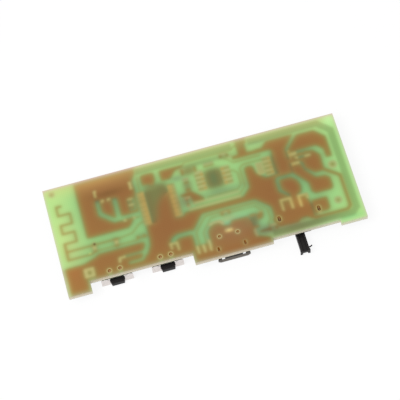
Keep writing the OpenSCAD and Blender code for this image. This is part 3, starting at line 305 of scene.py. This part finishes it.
def read_map(grid, x, y, first_cell):
    """Values of the map at the points, straight between its cells."""
    # Short of the last row and column, because the next one is read too
    column = np.clip((x - first_cell[0]) / MAP_PITCH, 0, grid.shape[1] - 1.001)
    row = np.clip((y - first_cell[1]) / MAP_PITCH, 0, grid.shape[0] - 1.001)
    c, r = column.astype(int), row.astype(int)
    u, v = column - c, row - r
    near = grid[r, c] * (1 - u) + grid[r, c + 1] * u
    far = grid[r + 1, c] * (1 - u) + grid[r + 1, c + 1] * u
    return near * (1 - v) + far * v


def carried_to_edges(copper, whole):
    """The copper map with its colour carried on into the bare strip along the edges."""
    steps = round(EDGE_COPPER / MAP_PITCH)
    ways = ((0, steps), (0, -steps), (1, steps), (1, -steps))
    for (axis, way), strength in zip(ways, EDGE_COPPER_SHARES):
        strip = whole * (1 - np.roll(whole, way, axis=axis))
        copper = np.maximum(copper, strength * strip * np.roll(copper, -way, axis=axis))
    return copper


def light_past_edges(whole, xs, ys, low, high):
    """How much light the surroundings send into the laminate, by the side they lie on."""
    far_edge, ends, near_edge = RIM_GAINS
    outside = (1 - whole) * near_edge
    outside[:, (xs < low.x) | (xs > high.x)] = ends
    outside[ys > high.y] = far_edge
    return outside


def lighting_and_tint_maps(xs, ys, low):
    """The painted shade and light of the patches, with their few real marks, one map each for red,
    green and blue.
    """
    across, along = np.meshgrid((xs - low.x) / MM, (ys - low.y) / MM)
    changes = np.zeros((3, *across.shape))
    for x, y, wide, deep, change in LIGHTING_AND_TINT_PATCHES:
        patch = np.exp(-0.5 * (((across - x) / wide) ** 2 + ((along - y) / deep) ** 2))
        changes += np.multiply.outer(change, patch)
    return 1 + changes


def see_through_maps():
    """What shows through the laminate, and the painted light and shade that come up through it, as
    maps by name, with the place of their first cell.
    """
    low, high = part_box("laminate")
    xs = np.arange(low.x - MAP_MARGIN, high.x + MAP_MARGIN, MAP_PITCH)
    ys = np.arange(low.y - MAP_MARGIN, high.y + MAP_MARGIN, MAP_PITCH)
    board = seen_from_above(["laminate"], xs, ys)
    whole = np.maximum(board, spread(board, OUTLINE_BLUR) > OUTLINE_SHARE)
    mask = seen_from_above(["solder_mask"], xs, ys) * board
    ink = seen_from_above(["ink_band"], xs, ys)
    chips = seen_from_above(CHIP_BODIES, xs, ys) * board
    small = seen_from_above(SMALL_BODIES, xs, ys) * board
    large = seen_from_above(LARGE_BODIES, xs, ys) * board
    fine_leads = seen_from_above(["radio_chip_leads"], xs, ys)
    wide_leads = seen_from_above(WIDE_LEADS, xs, ys)
    copper = carried_to_edges(seen_from_above(["copper_foil"], xs, ys) * board, whole)

    share = spread(whole, CLOTH_BLUR) + LEAST_SHARE
    copper_soft = spread(copper, CLOTH_BLUR) / share
    # A chip hides the light below it, so the copper's edges are lost there
    copper_soft += spread(chips, BODY_BLUR) * (spread(copper, BODY_BLUR) - copper_soft)
    mask_soft = spread(mask * (1 - copper), CLOTH_BLUR) / share
    bodies = np.maximum(chips, SMALL_BODY_SHARE * small)
    blocked = np.maximum.reduce([copper, chips, small, large])
    beyond = np.zeros_like(board)
    beyond[ys > high.y] = 1
    red, green, blue = lighting_and_tint_maps(xs, ys, low)
    maps = {
        # Painted shade and light of the patches, with their few real marks, one map for each colour
        "lighting_and_tint_red": red,
        "lighting_and_tint_green": green,
        "lighting_and_tint_blue": blue,
        "copper": copper_soft,
        # The mask as a share of what the copper leaves, which is never quite nothing
        "mask": np.clip(mask_soft / (1.001 - copper_soft), 0, 1),
        "ink": spread(ink, CLOTH_BLUR),
        "leads": np.maximum(
            np.clip(FINE_LEADS_GAIN * spread(fine_leads, FINE_LEADS_BLUR), 0, 1),
            WIDE_LEADS_SHARE * spread(wide_leads, WIDE_LEADS_BLUR),
        ),
        "chips": spread(bodies, BODY_BLUR) / (spread(whole, BODY_BLUR) + LEAST_SHARE),
        # Painted light that comes up past the parts below, close by and further off
        "near_light": 1 - spread(blocked, NEAR_LIGHT),
        "broad_light": 1 - spread(blocked, BROAD_LIGHT),
        # Painted light that comes in at the edges, and the warm light that comes in at the far one
        "rim": np.clip(spread(light_past_edges(whole, xs, ys, low, high), RIM_BLUR), 0, 1),
        "far_edge": spread(beyond, FAR_EDGE_BLUR),
    }
    return maps, (xs[0], ys[0])


# The laminate

def cut_across(mesh, faces, axis, lines):
    """Cuts the faces at each line across the axis, the middle one first. Gives the new faces."""
    if not lines or not faces:
        return faces
    middle = len(lines) // 2
    normal = Vector((1, 0, 0)) if axis == 0 else Vector((0, 1, 0))
    edges = {e for f in faces for e in f.edges}
    verts = {v for f in faces for v in f.verts}
    cut = bmesh.ops.bisect_plane(
        mesh, geom=[*verts, *edges, *faces], dist=MERGE_DISTANCE,
        plane_co=normal * lines[middle], plane_no=normal,
    )
    parts = [part for part in cut["geom"] if isinstance(part, bmesh.types.BMFace)]
    below = [f for f in parts if f.calc_center_median()[axis] < lines[middle]]
    above = [f for f in parts if f.calc_center_median()[axis] >= lines[middle]]
    return (
        cut_across(mesh, below, axis, lines[:middle])
        + cut_across(mesh, above, axis, lines[middle + 1:])
    )


def divide(mesh, slot, pitch, low, high):
    """Cuts the faces of the slot along lines pitch apart, both ways."""
    faces = [f for f in mesh.faces if f.material_index == slot]
    for axis in (0, 1):
        lines = list(np.arange(low[axis] + pitch, high[axis], pitch))
        faces = cut_across(mesh, faces, axis, lines)


def hole_walls(mesh, low, high):
    """The upright faces of the holes. Those of the recesses are longer or nearer to the edge."""
    found = []
    for face in mesh.faces:
        place = face.calc_center_median()
        inward = min(place.x - low.x, high.x - place.x, high.y - place.y, place.y - low.y)
        if abs(face.normal.z) > UPRIGHT or inward < HOLES_INSIDE:
            continue
        level = [e for e in face.edges if abs(e.verts[0].co.z - e.verts[1].co.z) < LEVEL_WITHIN]
        if max(e.calc_length() for e in level) < LONGEST_HOLE_SIDE:
            found.append(face)
    return found


def round_holes(walls):
    """Middle and radius of each round hole, from the walls of all the holes."""
    left, found = set(walls), []
    while left:
        group, fresh = [], [left.pop()]
        while fresh:
            face = fresh.pop()
            group.append(face)
            near = {other for edge in face.edges for other in edge.link_faces} & left
            left -= near
            fresh.extend(near)
        xs = [v.co.x for f in group for v in f.verts]
        ys = [v.co.y for f in group for v in f.verts]
        wide, deep = max(xs) - min(xs), max(ys) - min(ys)
        if abs(wide - deep) < ROUND_WITHIN:
            found.append(((max(xs) + min(xs)) / 2, (max(ys) + min(ys)) / 2, wide / 2))
    return found


def divided_laminate():
    """The CAD laminate's mesh, sorted into slots and divided for the maps, and its round holes."""
    mesh = bmesh.new()
    mesh.from_mesh(nodes["laminate"].data)
    bmesh.ops.remove_doubles(mesh, verts=mesh.verts, dist=MERGE_DISTANCE)
    low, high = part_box("laminate")
    walls = hole_walls(mesh, low, high)
    for face in mesh.faces:
        flat_side = BARE_FACE if face.normal.z > 0 else UNDERSIDE
        face.material_index = flat_side if abs(face.normal.z) > FACING else ROUTED_EDGE
    for face in walls:
        face.material_index = HOLE_WALL
    holes = round_holes(walls)
    divide(mesh, ROUTED_EDGE, WALL_PITCH, low, high)
    divide(mesh, BARE_FACE, FACE_PITCH, low, high)
    bmesh.ops.triangulate(mesh, faces=mesh.faces)
    data = bpy.data.meshes.new("laminate_sheet")
    mesh.to_mesh(data)
    mesh.free()
    return data, holes


def give_attribute(data, name, values):
    """Stores a number at each point of the mesh, for the materials to read."""
    data.attributes.new(name, "FLOAT", "POINT").data.foreach_set("value", values.astype(np.float32))


def see_through_laminate():
    """The laminate as a CAD copy whose top is finely divided and carries the maps as attributes."""
    data, holes = divided_laminate()
    piece = bpy.data.objects.new("laminate_sheet", data)
    bpy.context.scene.collection.objects.link(piece)
    places = np.zeros(len(data.vertices) * 3)
    data.vertices.foreach_get("co", places)
    x, y, _ = places.reshape(-1, 3).T
    maps, first_cell = see_through_maps()
    for name, grid in maps.items():
        give_attribute(data, name, read_map(grid, x, y, first_cell))
    ring = np.zeros(len(x))
    for hole_x, hole_y, radius in holes:
        off = np.hypot(x - hole_x, y - hole_y) - radius
        ring = np.maximum(ring, np.clip(1 - off / RING_WIDTH, 0, 1))
    give_attribute(data, "ring", ring)
    return piece


# Finishes of the laminate

def lit_colour(tree, seen, colours):
    """One of the colours below, as the light that comes up near by and further off changes it."""
    shade, near, far = (np.array(linear(code)[:3]) for code in colours)
    near_gain = (near - shade) / (FULL_LIGHT[0] - SHADE_LIGHT[0])
    far_gain = (far - shade) / (FULL_LIGHT[1] - SHADE_LIGHT[1])
    unlit = shade - SHADE_LIGHT[0] * near_gain - SHADE_LIGHT[1] * far_gain
    close = add_node(
        tree, "ShaderNodeVectorMath", {1: near_gain, 2: unlit}, {0: seen["near_light"]},
        operation="MULTIPLY_ADD",
    )
    both = add_node(
        tree, "ShaderNodeVectorMath", {1: far_gain}, {0: seen["broad_light"], 2: (close, "Vector")},
        operation="MULTIPLY_ADD",
    )
    return both, "Vector"


def glass_weave(tree):
    """The warp and weft of the cloth at its real pitch."""
    place = add_node(tree, "ShaderNodeTexCoord")
    ways = [
        add_node(
            tree, "ShaderNodeTexWave",
            {"Scale": 2 * math.pi / (WAVE_STEEPNESS * CLOTH_PITCH), "Distortion": 0.4, "Detail": 1},
            {"Vector": (place, "Object")}, bands_direction=way,
        )
        for way in ("X", "Y")
    ]
    return add_node(
        tree, "ShaderNodeMath", links={0: (ways[0], "Fac"), 1: (ways[1], "Fac")}, operation="ADD"
    )


def seen_below(tree):
    """The colour of the laminate, from the light and from what lies below it."""
    seen = {
        name: (add_node(tree, "ShaderNodeAttribute", attribute_name=name), "Fac") for name in (
            "copper", "mask", "ink", "leads", "chips", "near_light", "broad_light", "rim",
            "far_edge", "lighting_and_tint_red", "lighting_and_tint_green", "lighting_and_tint_blue",
        )
    }
    inked = add_node(tree, "ShaderNodeMath", {1: INK_DEPTH}, {0: seen["ink"]}, operation="MULTIPLY")
    masked = add_node(
        tree, "ShaderNodeMix", {"B": linear(INK_BELOW)},
        {"Factor": (inked, "Value"), "A": lit_colour(tree, seen, MASK_BELOW)}, data_type="RGBA",
    )
    # Laid on the bare resin one after the other, each where its own map is strong: the leads, the
    # mask, the painted shade of the chips, the copper and the painted warm light at the far edge
    layers = [
        ("leads", {"B": linear(LEADS_BELOW)}, {}),
        ("mask", {}, {"B": (masked, MIXED_COLOUR)}),
        ("chips", {"B": linear(CHIP_BELOW)}, {}),
        ("copper", {}, {"B": lit_colour(tree, seen, COPPER_BELOW)}),
        ("far_edge", {"B": linear(FAR_EDGE_GLOW)}, {}),
    ]
    colour = lit_colour(tree, seen, BARE_RESIN)
    for name, fixed, linked in layers:
        laid_on = add_node(
            tree, "ShaderNodeMix", fixed, {"Factor": seen[name], "A": colour, **linked},
            data_type="RGBA",
        )
        colour = laid_on, MIXED_COLOUR
    # The painted shade and light of the patches, with their few real marks, scale the colour
    lighting_and_tint = add_node(
        tree, "ShaderNodeCombineXYZ",
        links={"X": seen["lighting_and_tint_red"], "Y": seen["lighting_and_tint_green"], "Z": seen["lighting_and_tint_blue"]},
    )
    uneven = add_node(
        tree, "ShaderNodeVectorMath", links={0: colour, 1: (lighting_and_tint, "Vector")}, operation="MULTIPLY"
    )
    # Painted light that comes in at the edges goes on last, as a pale rim
    rimmed = add_node(
        tree, "ShaderNodeMix", {"B": linear(RIM_LIGHT)},
        {"Factor": seen["rim"], "A": (uneven, "Vector")}, data_type="RGBA",
    )
    return rimmed, MIXED_COLOUR


def see_through_finish():
    """Bare glass-epoxy laminate: smooth resin with a soft sheen over a woven cloth, deep and
    cloudy, so that the circuit below shows as through frosted glass. The light and shade that
    come up through it are painted into its colour."""
    material, tree = new_material("bare_laminate_face")
    ring = add_node(tree, "ShaderNodeAttribute", attribute_name="ring")
    ringed = add_node(
        tree, "ShaderNodeMix", {"B": linear(PALE_RING)},
        {"Factor": (ring, "Fac"), "A": seen_below(tree)}, data_type="RGBA",
    )
    weave = glass_weave(tree)
    dark, bright = CLOTH_TONES
    tone = add_node(
        tree, "ShaderNodeMapRange", {"From Max": 2, "To Min": dark, "To Max": bright},
        {"Value": (weave, "Value")},
    )
    woven = add_node(
        tree, "ShaderNodeVectorMath", links={0: (ringed, MIXED_COLOUR), 1: (tone, "Result")},
        operation="MULTIPLY",
    )
    never_below_zero = add_node(
        tree, "ShaderNodeVectorMath", {1: (0, 0, 0)}, {0: (woven, "Vector")}, operation="MAXIMUM"
    )
    relief = add_node(
        tree, "ShaderNodeBump", {"Strength": 0.3, "Distance": CLOTH_RELIEF},
        {"Height": (weave, "Value")},
    )
    finish_material(
        tree, {"Roughness": 0.45, "Specular IOR Level": 0.2},
        {"Base Color": (never_below_zero, "Vector"), "Normal": (relief, "Normal")},
    )
    return material


def routed_finish():
    """Routed laminate: dry, pale broken fibres with no gloss, over resin that takes the colour of
    the face above, its painted light and shade included."""
    material, tree = new_material("routed_glass_edge")
    place = add_node(tree, "ShaderNodeTexCoord")
    grain = add_node(
        tree, "ShaderNodeTexNoise", {"Scale": 1 / FIBRE_SIZE, "Detail": 4, "Roughness": 0.6},
        {"Vector": (place, "Object")},
    )
    fibres = add_node(
        tree, "ShaderNodeMix", {"A": linear("#E6D4B4"), "B": linear("#FFFAEE")},
        {"Factor": (grain, "Fac")}, data_type="RGBA",
    )
    apart = add_node(tree, "ShaderNodeSeparateXYZ", links={"Vector": (place, "Object")})
    lower, upper = FACE_COLOUR_SHARES
    share = add_node(
        tree, "ShaderNodeMapRange",
        {"From Min": -BOARD_THICKNESS, "From Max": 0, "To Min": lower, "To Max": upper},
        {"Value": (apart, "Z")},
    )
    colour = add_node(
        tree, "ShaderNodeMix", data_type="RGBA",
        links={"Factor": (share, "Result"), "A": (fibres, MIXED_COLOUR), "B": seen_below(tree)},
    )
    never_below_zero = add_node(
        tree, "ShaderNodeVectorMath", {1: (0, 0, 0)}, {0: (colour, MIXED_COLOUR)},
        operation="MAXIMUM",
    )
    relief = add_node(
        tree, "ShaderNodeBump", {"Strength": 1, "Distance": FIBRE_RELIEF},
        {"Height": (grain, "Fac")},
    )
    finish_material(
        tree, {"Roughness": 0.8},
        {"Base Color": (never_below_zero, "Vector"), "Normal": (relief, "Normal")},
    )
    return material


def glowing_wall():
    """Drilled wall, browned by flux, with a faint warm painted glow for the light from the laminate.
    """
    material, tree = new_material("flux_and_glow_in_the_holes")
    finish_material(
        tree,
        {
            "Base Color": linear("#94794A"), "Roughness": 0.5,
            "Emission Color": linear("#96621E"), "Emission Strength": 0.45,
        },
        {},
    )
    return material


# Finishes of the other pieces

def speckled(
    name, dark, light, grain_mm, roughness, bump=0.0, metallic=0.0, sheen=0.5, stretch=(1, 1, 1)
):
    """A finish whose colour wanders between two shades, with grain and bumps of a real size in mm."""
    material, tree = new_material(name)
    place = add_node(tree, "ShaderNodeTexCoord")
    turned = add_node(tree, "ShaderNodeMapping", {"Scale": stretch}, {"Vector": (place, "Object")})
    grain = add_node(
        tree, "ShaderNodeTexNoise", {"Scale": 1 / (grain_mm * MM), "Detail": 4, "Roughness": 0.6},
        {"Vector": (turned, "Vector")},
    )
    shade = add_node(
        tree, "ShaderNodeMix", {"A": linear(dark), "B": linear(light)},
        {"Factor": (grain, "Fac")}, data_type="RGBA",
    )
    links = {"Base Color": (shade, MIXED_COLOUR)}
    if bump:
        relief = add_node(
            tree, "ShaderNodeBump", {"Strength": 1, "Distance": bump * MM},
            {"Height": (grain, "Fac")},
        )
        links["Normal"] = (relief, "Normal")
    settings = {"Roughness": roughness, "Metallic": metallic, "Specular IOR Level": sheen}
    finish_material(tree, settings, links)
    return material


def stained_above(name, dark, light, stain, grain_mm, roughness, metallic=0.0):
    """A finish of two shades that flux has stained where the piece stands in its hole."""
    material, tree = new_material(name)
    place = add_node(tree, "ShaderNodeTexCoord")
    grain = add_node(
        tree, "ShaderNodeTexNoise", {"Scale": 1 / (grain_mm * MM), "Detail": 4, "Roughness": 0.6},
        {"Vector": (place, "Object")},
    )
    shade = add_node(
        tree, "ShaderNodeMix", {"A": linear(dark), "B": linear(light)},
        {"Factor": (grain, "Fac")}, data_type="RGBA",
    )
    apart = add_node(tree, "ShaderNodeSeparateXYZ", links={"Vector": (place, "Object")})
    height = add_node(
        tree, "ShaderNodeMapRange", {"From Min": STAIN_FROM, "From Max": STAIN_FROM + STAIN_RISE},
        {"Value": (apart, "Z")},
    )
    stained = add_node(
        tree, "ShaderNodeMix", {"B": linear(stain)},
        {"Factor": (height, "Result"), "A": (shade, MIXED_COLOUR)}, data_type="RGBA",
    )
    bare = add_node(
        tree, "ShaderNodeMath", {0: metallic}, {1: (height, "Result")}, operation="SUBTRACT",
        use_clamp=True,
    )
    finish_material(
        tree, {"Roughness": roughness},
        {"Base Color": (stained, MIXED_COLOUR), "Metallic": (bare, "Value")},
    )
    return material


def mask_finish():
    """Green mask, wet-looking, and thin enough for the copper and the resin behind it to show."""
    material, tree = new_material("solder_mask")
    place = add_node(tree, "ShaderNodeTexCoord")
    clouds = add_node(
        tree, "ShaderNodeTexNoise", {"Scale": 1 / MASK_CLOUDS, "Detail": 3},
        {"Vector": (place, "Object")},
    )
    shade = add_node(
        tree, "ShaderNodeMix", {"A": linear("#0E6B3A"), "B": linear("#14784A")},
        {"Factor": (clouds, "Fac")}, data_type="RGBA",
    )
    coat = add_node(
        tree, "ShaderNodeBsdfPrincipled", {"Roughness": 0.25, "Coat Weight": 0.4},
        {"Base Color": (shade, MIXED_COLOUR)},
    )
    clear = add_node(tree, "ShaderNodeBsdfTransparent", {"Color": linear("#8FD9A0")})
    both = add_node(tree, "ShaderNodeMixShader", {0: MASK_CLEARNESS}, {1: (coat, 0), 2: (clear, 0)})
    add_node(tree, "ShaderNodeOutputMaterial", links={"Surface": (both, 0)})
    return material


# Bare lower side of the laminate: pale yellow-green, evenly cloudy, with a soft sheen
underside = speckled("laminate_underside", "#C6C49A", "#D6D4AE", 0.5, 0.4)
# Copper foil: warm and a little blotchy, with broad soft reflections
bare_copper = speckled("etched_copper", "#B4693C", "#D08A58", 0.4, 0.35, metallic=1.0)
# Screen-printed ink: flat, darker and duller than the mask under it
band_ink = speckled("printed_band_ink", "#2C5230", "#38633C", 0.3, 0.45)
# Hot tin and solder: cool and bright, with fine ripples that break the reflections
tin = speckled("tinned_metal", "#B9BCBE", "#DADCDD", 0.2, 0.32, bump=0.004, metallic=1.0)
# Nickel on rolled steel strip: pale and slightly warm, with clear reflections and faint streaks
plate_steel = speckled(
    "nickel_plated_steel", "#CDC5C1", "#EAE3DF", 0.5, 0.24, metallic=1.0, stretch=(1, 6, 1)
)
# Tinned steel frame: bright and smooth, brown on the legs where flux has run
frame_steel = stained_above(
    "slide_frame_steel", "#C9C5C0", "#E6E2DD", "#8A6834", 0.5, 0.28, metallic=1.0
)
# Steel shell in a dark grey with a dull gleam, amber on the legs where flux has run
shell_steel = stained_above(
    "socket_shell_steel", "#5C5853", "#78736D", "#B8843E", 0.6, 0.36, metallic=1.0
)
# Gold on spring bronze: deep yellow, smooth and bright
contact_gold = speckled("gold_plated_contact", "#D9AE54", "#EBC873", 0.3, 0.25, metallic=1.0)
# Moulded nylon: nearly black, with a fine skin that hardly shines
black_nylon = speckled(
    "black_moulded_nylon", "#120F0F", "#1C1818", 0.15, 0.5, bump=0.006, sheen=0.25
)
# The same nylon a shade lighter, with pegs that flux has turned tan in their holes
pegged_nylon = stained_above(
    "black_nylon_with_stained_pegs", "#191516", "#252020", "#B49664", 0.15, 0.5
)
# Filled epoxy: charcoal and matt, with a fine stippled skin from the mould
chip_resin = speckled("chip_moulding_compound", "#1E1F21", "#2B2C2E", 0.08, 0.62, bump=0.004)
# Fired ceramic: tan and close-grained, with a soft sheen
ceramic = speckled("capacitor_ceramic", "#93775A", "#AD9170", 0.1, 0.5)

FINISHES = {
    "copper_foil": bare_copper, "solder_mask": mask_finish(), "ink_band": band_ink,
    "pad_tin": tin, "solder_joints": tin,
    "socket_shell": shell_steel, "socket_tongue": pegged_nylon, "socket_contacts": contact_gold,
    "switch_frame": frame_steel, "switch_insulator": black_nylon, "switch_terminals": tin,
    "switch_lever": black_nylon, "switch_wiper": contact_gold,
    "crystal_can": plate_steel, "crystal_base": black_nylon, "crystal_terminals": tin,
    "capacitor_bodies": ceramic, "resistor_bodies": chip_resin, "end_caps": tin,
}
for chip in ("radio", "amplifier", "charger"):
    FINISHES[chip + "_chip_body"] = chip_resin
    FINISHES[chip + "_chip_leads"] = tin
for side in ("left", "right"):
    FINISHES[side + "_button_housing"] = pegged_nylon
    FINISHES[side + "_button_plate"] = plate_steel
    FINISHES[side + "_button_plunger"] = black_nylon
    FINISHES[side + "_button_dome"] = contact_gold
    FINISHES[side + "_button_terminals"] = tin
for name, finish in FINISHES.items():
    nodes[name].data.materials.clear()
    nodes[name].data.materials.append(finish)

# The sheet's finishes go on in the order of its slots
sheet = see_through_laminate()
for finish in (see_through_finish(), routed_finish(), glowing_wall(), underside):
    sheet.data.materials.append(finish)
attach(sheet, "board")
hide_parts("laminate")


# Floor, light and camera

def background_rays(tree):
    """One where a ray comes from the camera, a mirror or a clear piece."""
    path = add_node(tree, "ShaderNodeLightPath")
    mirrored = add_node(
        tree, "ShaderNodeMath", links={0: (path, "Is Camera Ray"), 1: (path, "Is Glossy Ray")},
        operation="MAXIMUM",
    )
    return add_node(
        tree, "ShaderNodeMath", links={0: (mirrored, "Value"), 1: (path, "Is Transmission Ray")},
        operation="MAXIMUM",
    )


def make_floor():
    """White paper, clear from below, so that the underside of the board can be looked at."""
    low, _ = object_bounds()
    mesh = bmesh.new()
    bmesh.ops.create_grid(mesh, x_segments=1, y_segments=1, size=FLOOR_REACH)
    bmesh.ops.translate(mesh, verts=mesh.verts, vec=(0, 0, low.z))
    data = bpy.data.meshes.new("floor")
    mesh.to_mesh(data)
    mesh.free()
    floor = bpy.data.objects.new("floor", data)
    bpy.context.scene.collection.objects.link(floor)
    material, tree = new_material("white_paper")
    paper = add_node(tree, "ShaderNodeBsdfDiffuse", {"Color": linear("#F4F4F4")})
    glow = add_node(
        tree, "ShaderNodeEmission", {"Color": (1, 1, 1, 1), "Strength": FLOOR_GLOW_STRENGTH}
    )
    share = add_node(
        tree, "ShaderNodeMath", {1: FLOOR_GLOW}, {0: (background_rays(tree), "Value")},
        operation="MULTIPLY",
    )
    lit_paper = add_node(
        tree, "ShaderNodeMixShader", links={0: (share, "Value"), 1: (paper, 0), 2: (glow, 0)}
    )
    side = add_node(tree, "ShaderNodeNewGeometry")
    clear = add_node(tree, "ShaderNodeBsdfTransparent")
    one_sided = add_node(
        tree, "ShaderNodeMixShader",
        links={0: (side, "Backfacing"), 1: (lit_paper, 0), 2: (clear, 0)},
    )
    add_node(tree, "ShaderNodeOutputMaterial", links={"Surface": (one_sided, 0)})
    data.materials.append(material)


def make_world():
    """A white surround, which lights the board less strongly than it shows."""
    world = bpy.data.worlds.new("studio")
    world.use_nodes = True
    tree = world.node_tree
    tree.nodes.clear()
    level = add_node(
        tree, "ShaderNodeMapRange", {"To Min": WORLD_LEVEL, "To Max": 1.0},
        {"Value": (background_rays(tree), "Value")},
    )
    sky = add_node(
        tree, "ShaderNodeBackground", {"Color": (1, 1, 1, 1)}, {"Strength": (level, "Result")}
    )
    add_node(tree, "ShaderNodeOutputWorld", links={"Surface": (sky, "Background")})
    bpy.context.scene.world = world


def make_lamp():
    """A soft square lamp that looks at the middle of the board."""
    lamp = bpy.data.lights.new("key_lamp", "AREA")
    lamp.size = LAMP_SIZE_MM * MM
    lamp.energy = LAMP_WATTS
    holder = bpy.data.objects.new("key_lamp", lamp)
    holder.location = Vector(LAMP_PLACE_MM) * MM
    holder.rotation_euler = (-holder.location).to_track_quat("-Z", "Y").to_euler()
    bpy.context.scene.collection.objects.link(holder)


def make_camera():
    """A long lens, high above the near edge."""
    data = bpy.data.cameras.new("camera")
    data.sensor_width = SENSOR_MM
    data.lens = LENS_MM
    camera = bpy.data.objects.new("camera", data)
    bpy.context.scene.collection.objects.link(camera)
    flat = math.cos(CAMERA_ELEVATION)
    back = Vector((
        math.sin(CAMERA_AZIMUTH) * flat,
        -math.cos(CAMERA_AZIMUTH) * flat,
        math.sin(CAMERA_ELEVATION),
    ))
    camera.location = CAMERA_AIM + back * CAMERA_DISTANCE
    camera.rotation_mode = "QUATERNION"
    camera.rotation_quaternion = Quaternion(back, CAMERA_ROLL) @ (-back).to_track_quat("-Z", "Y")
    bpy.context.scene.camera = camera


make_floor()
make_world()
make_lamp()
make_camera()
bpy.context.scene.view_settings.view_transform = "Standard"
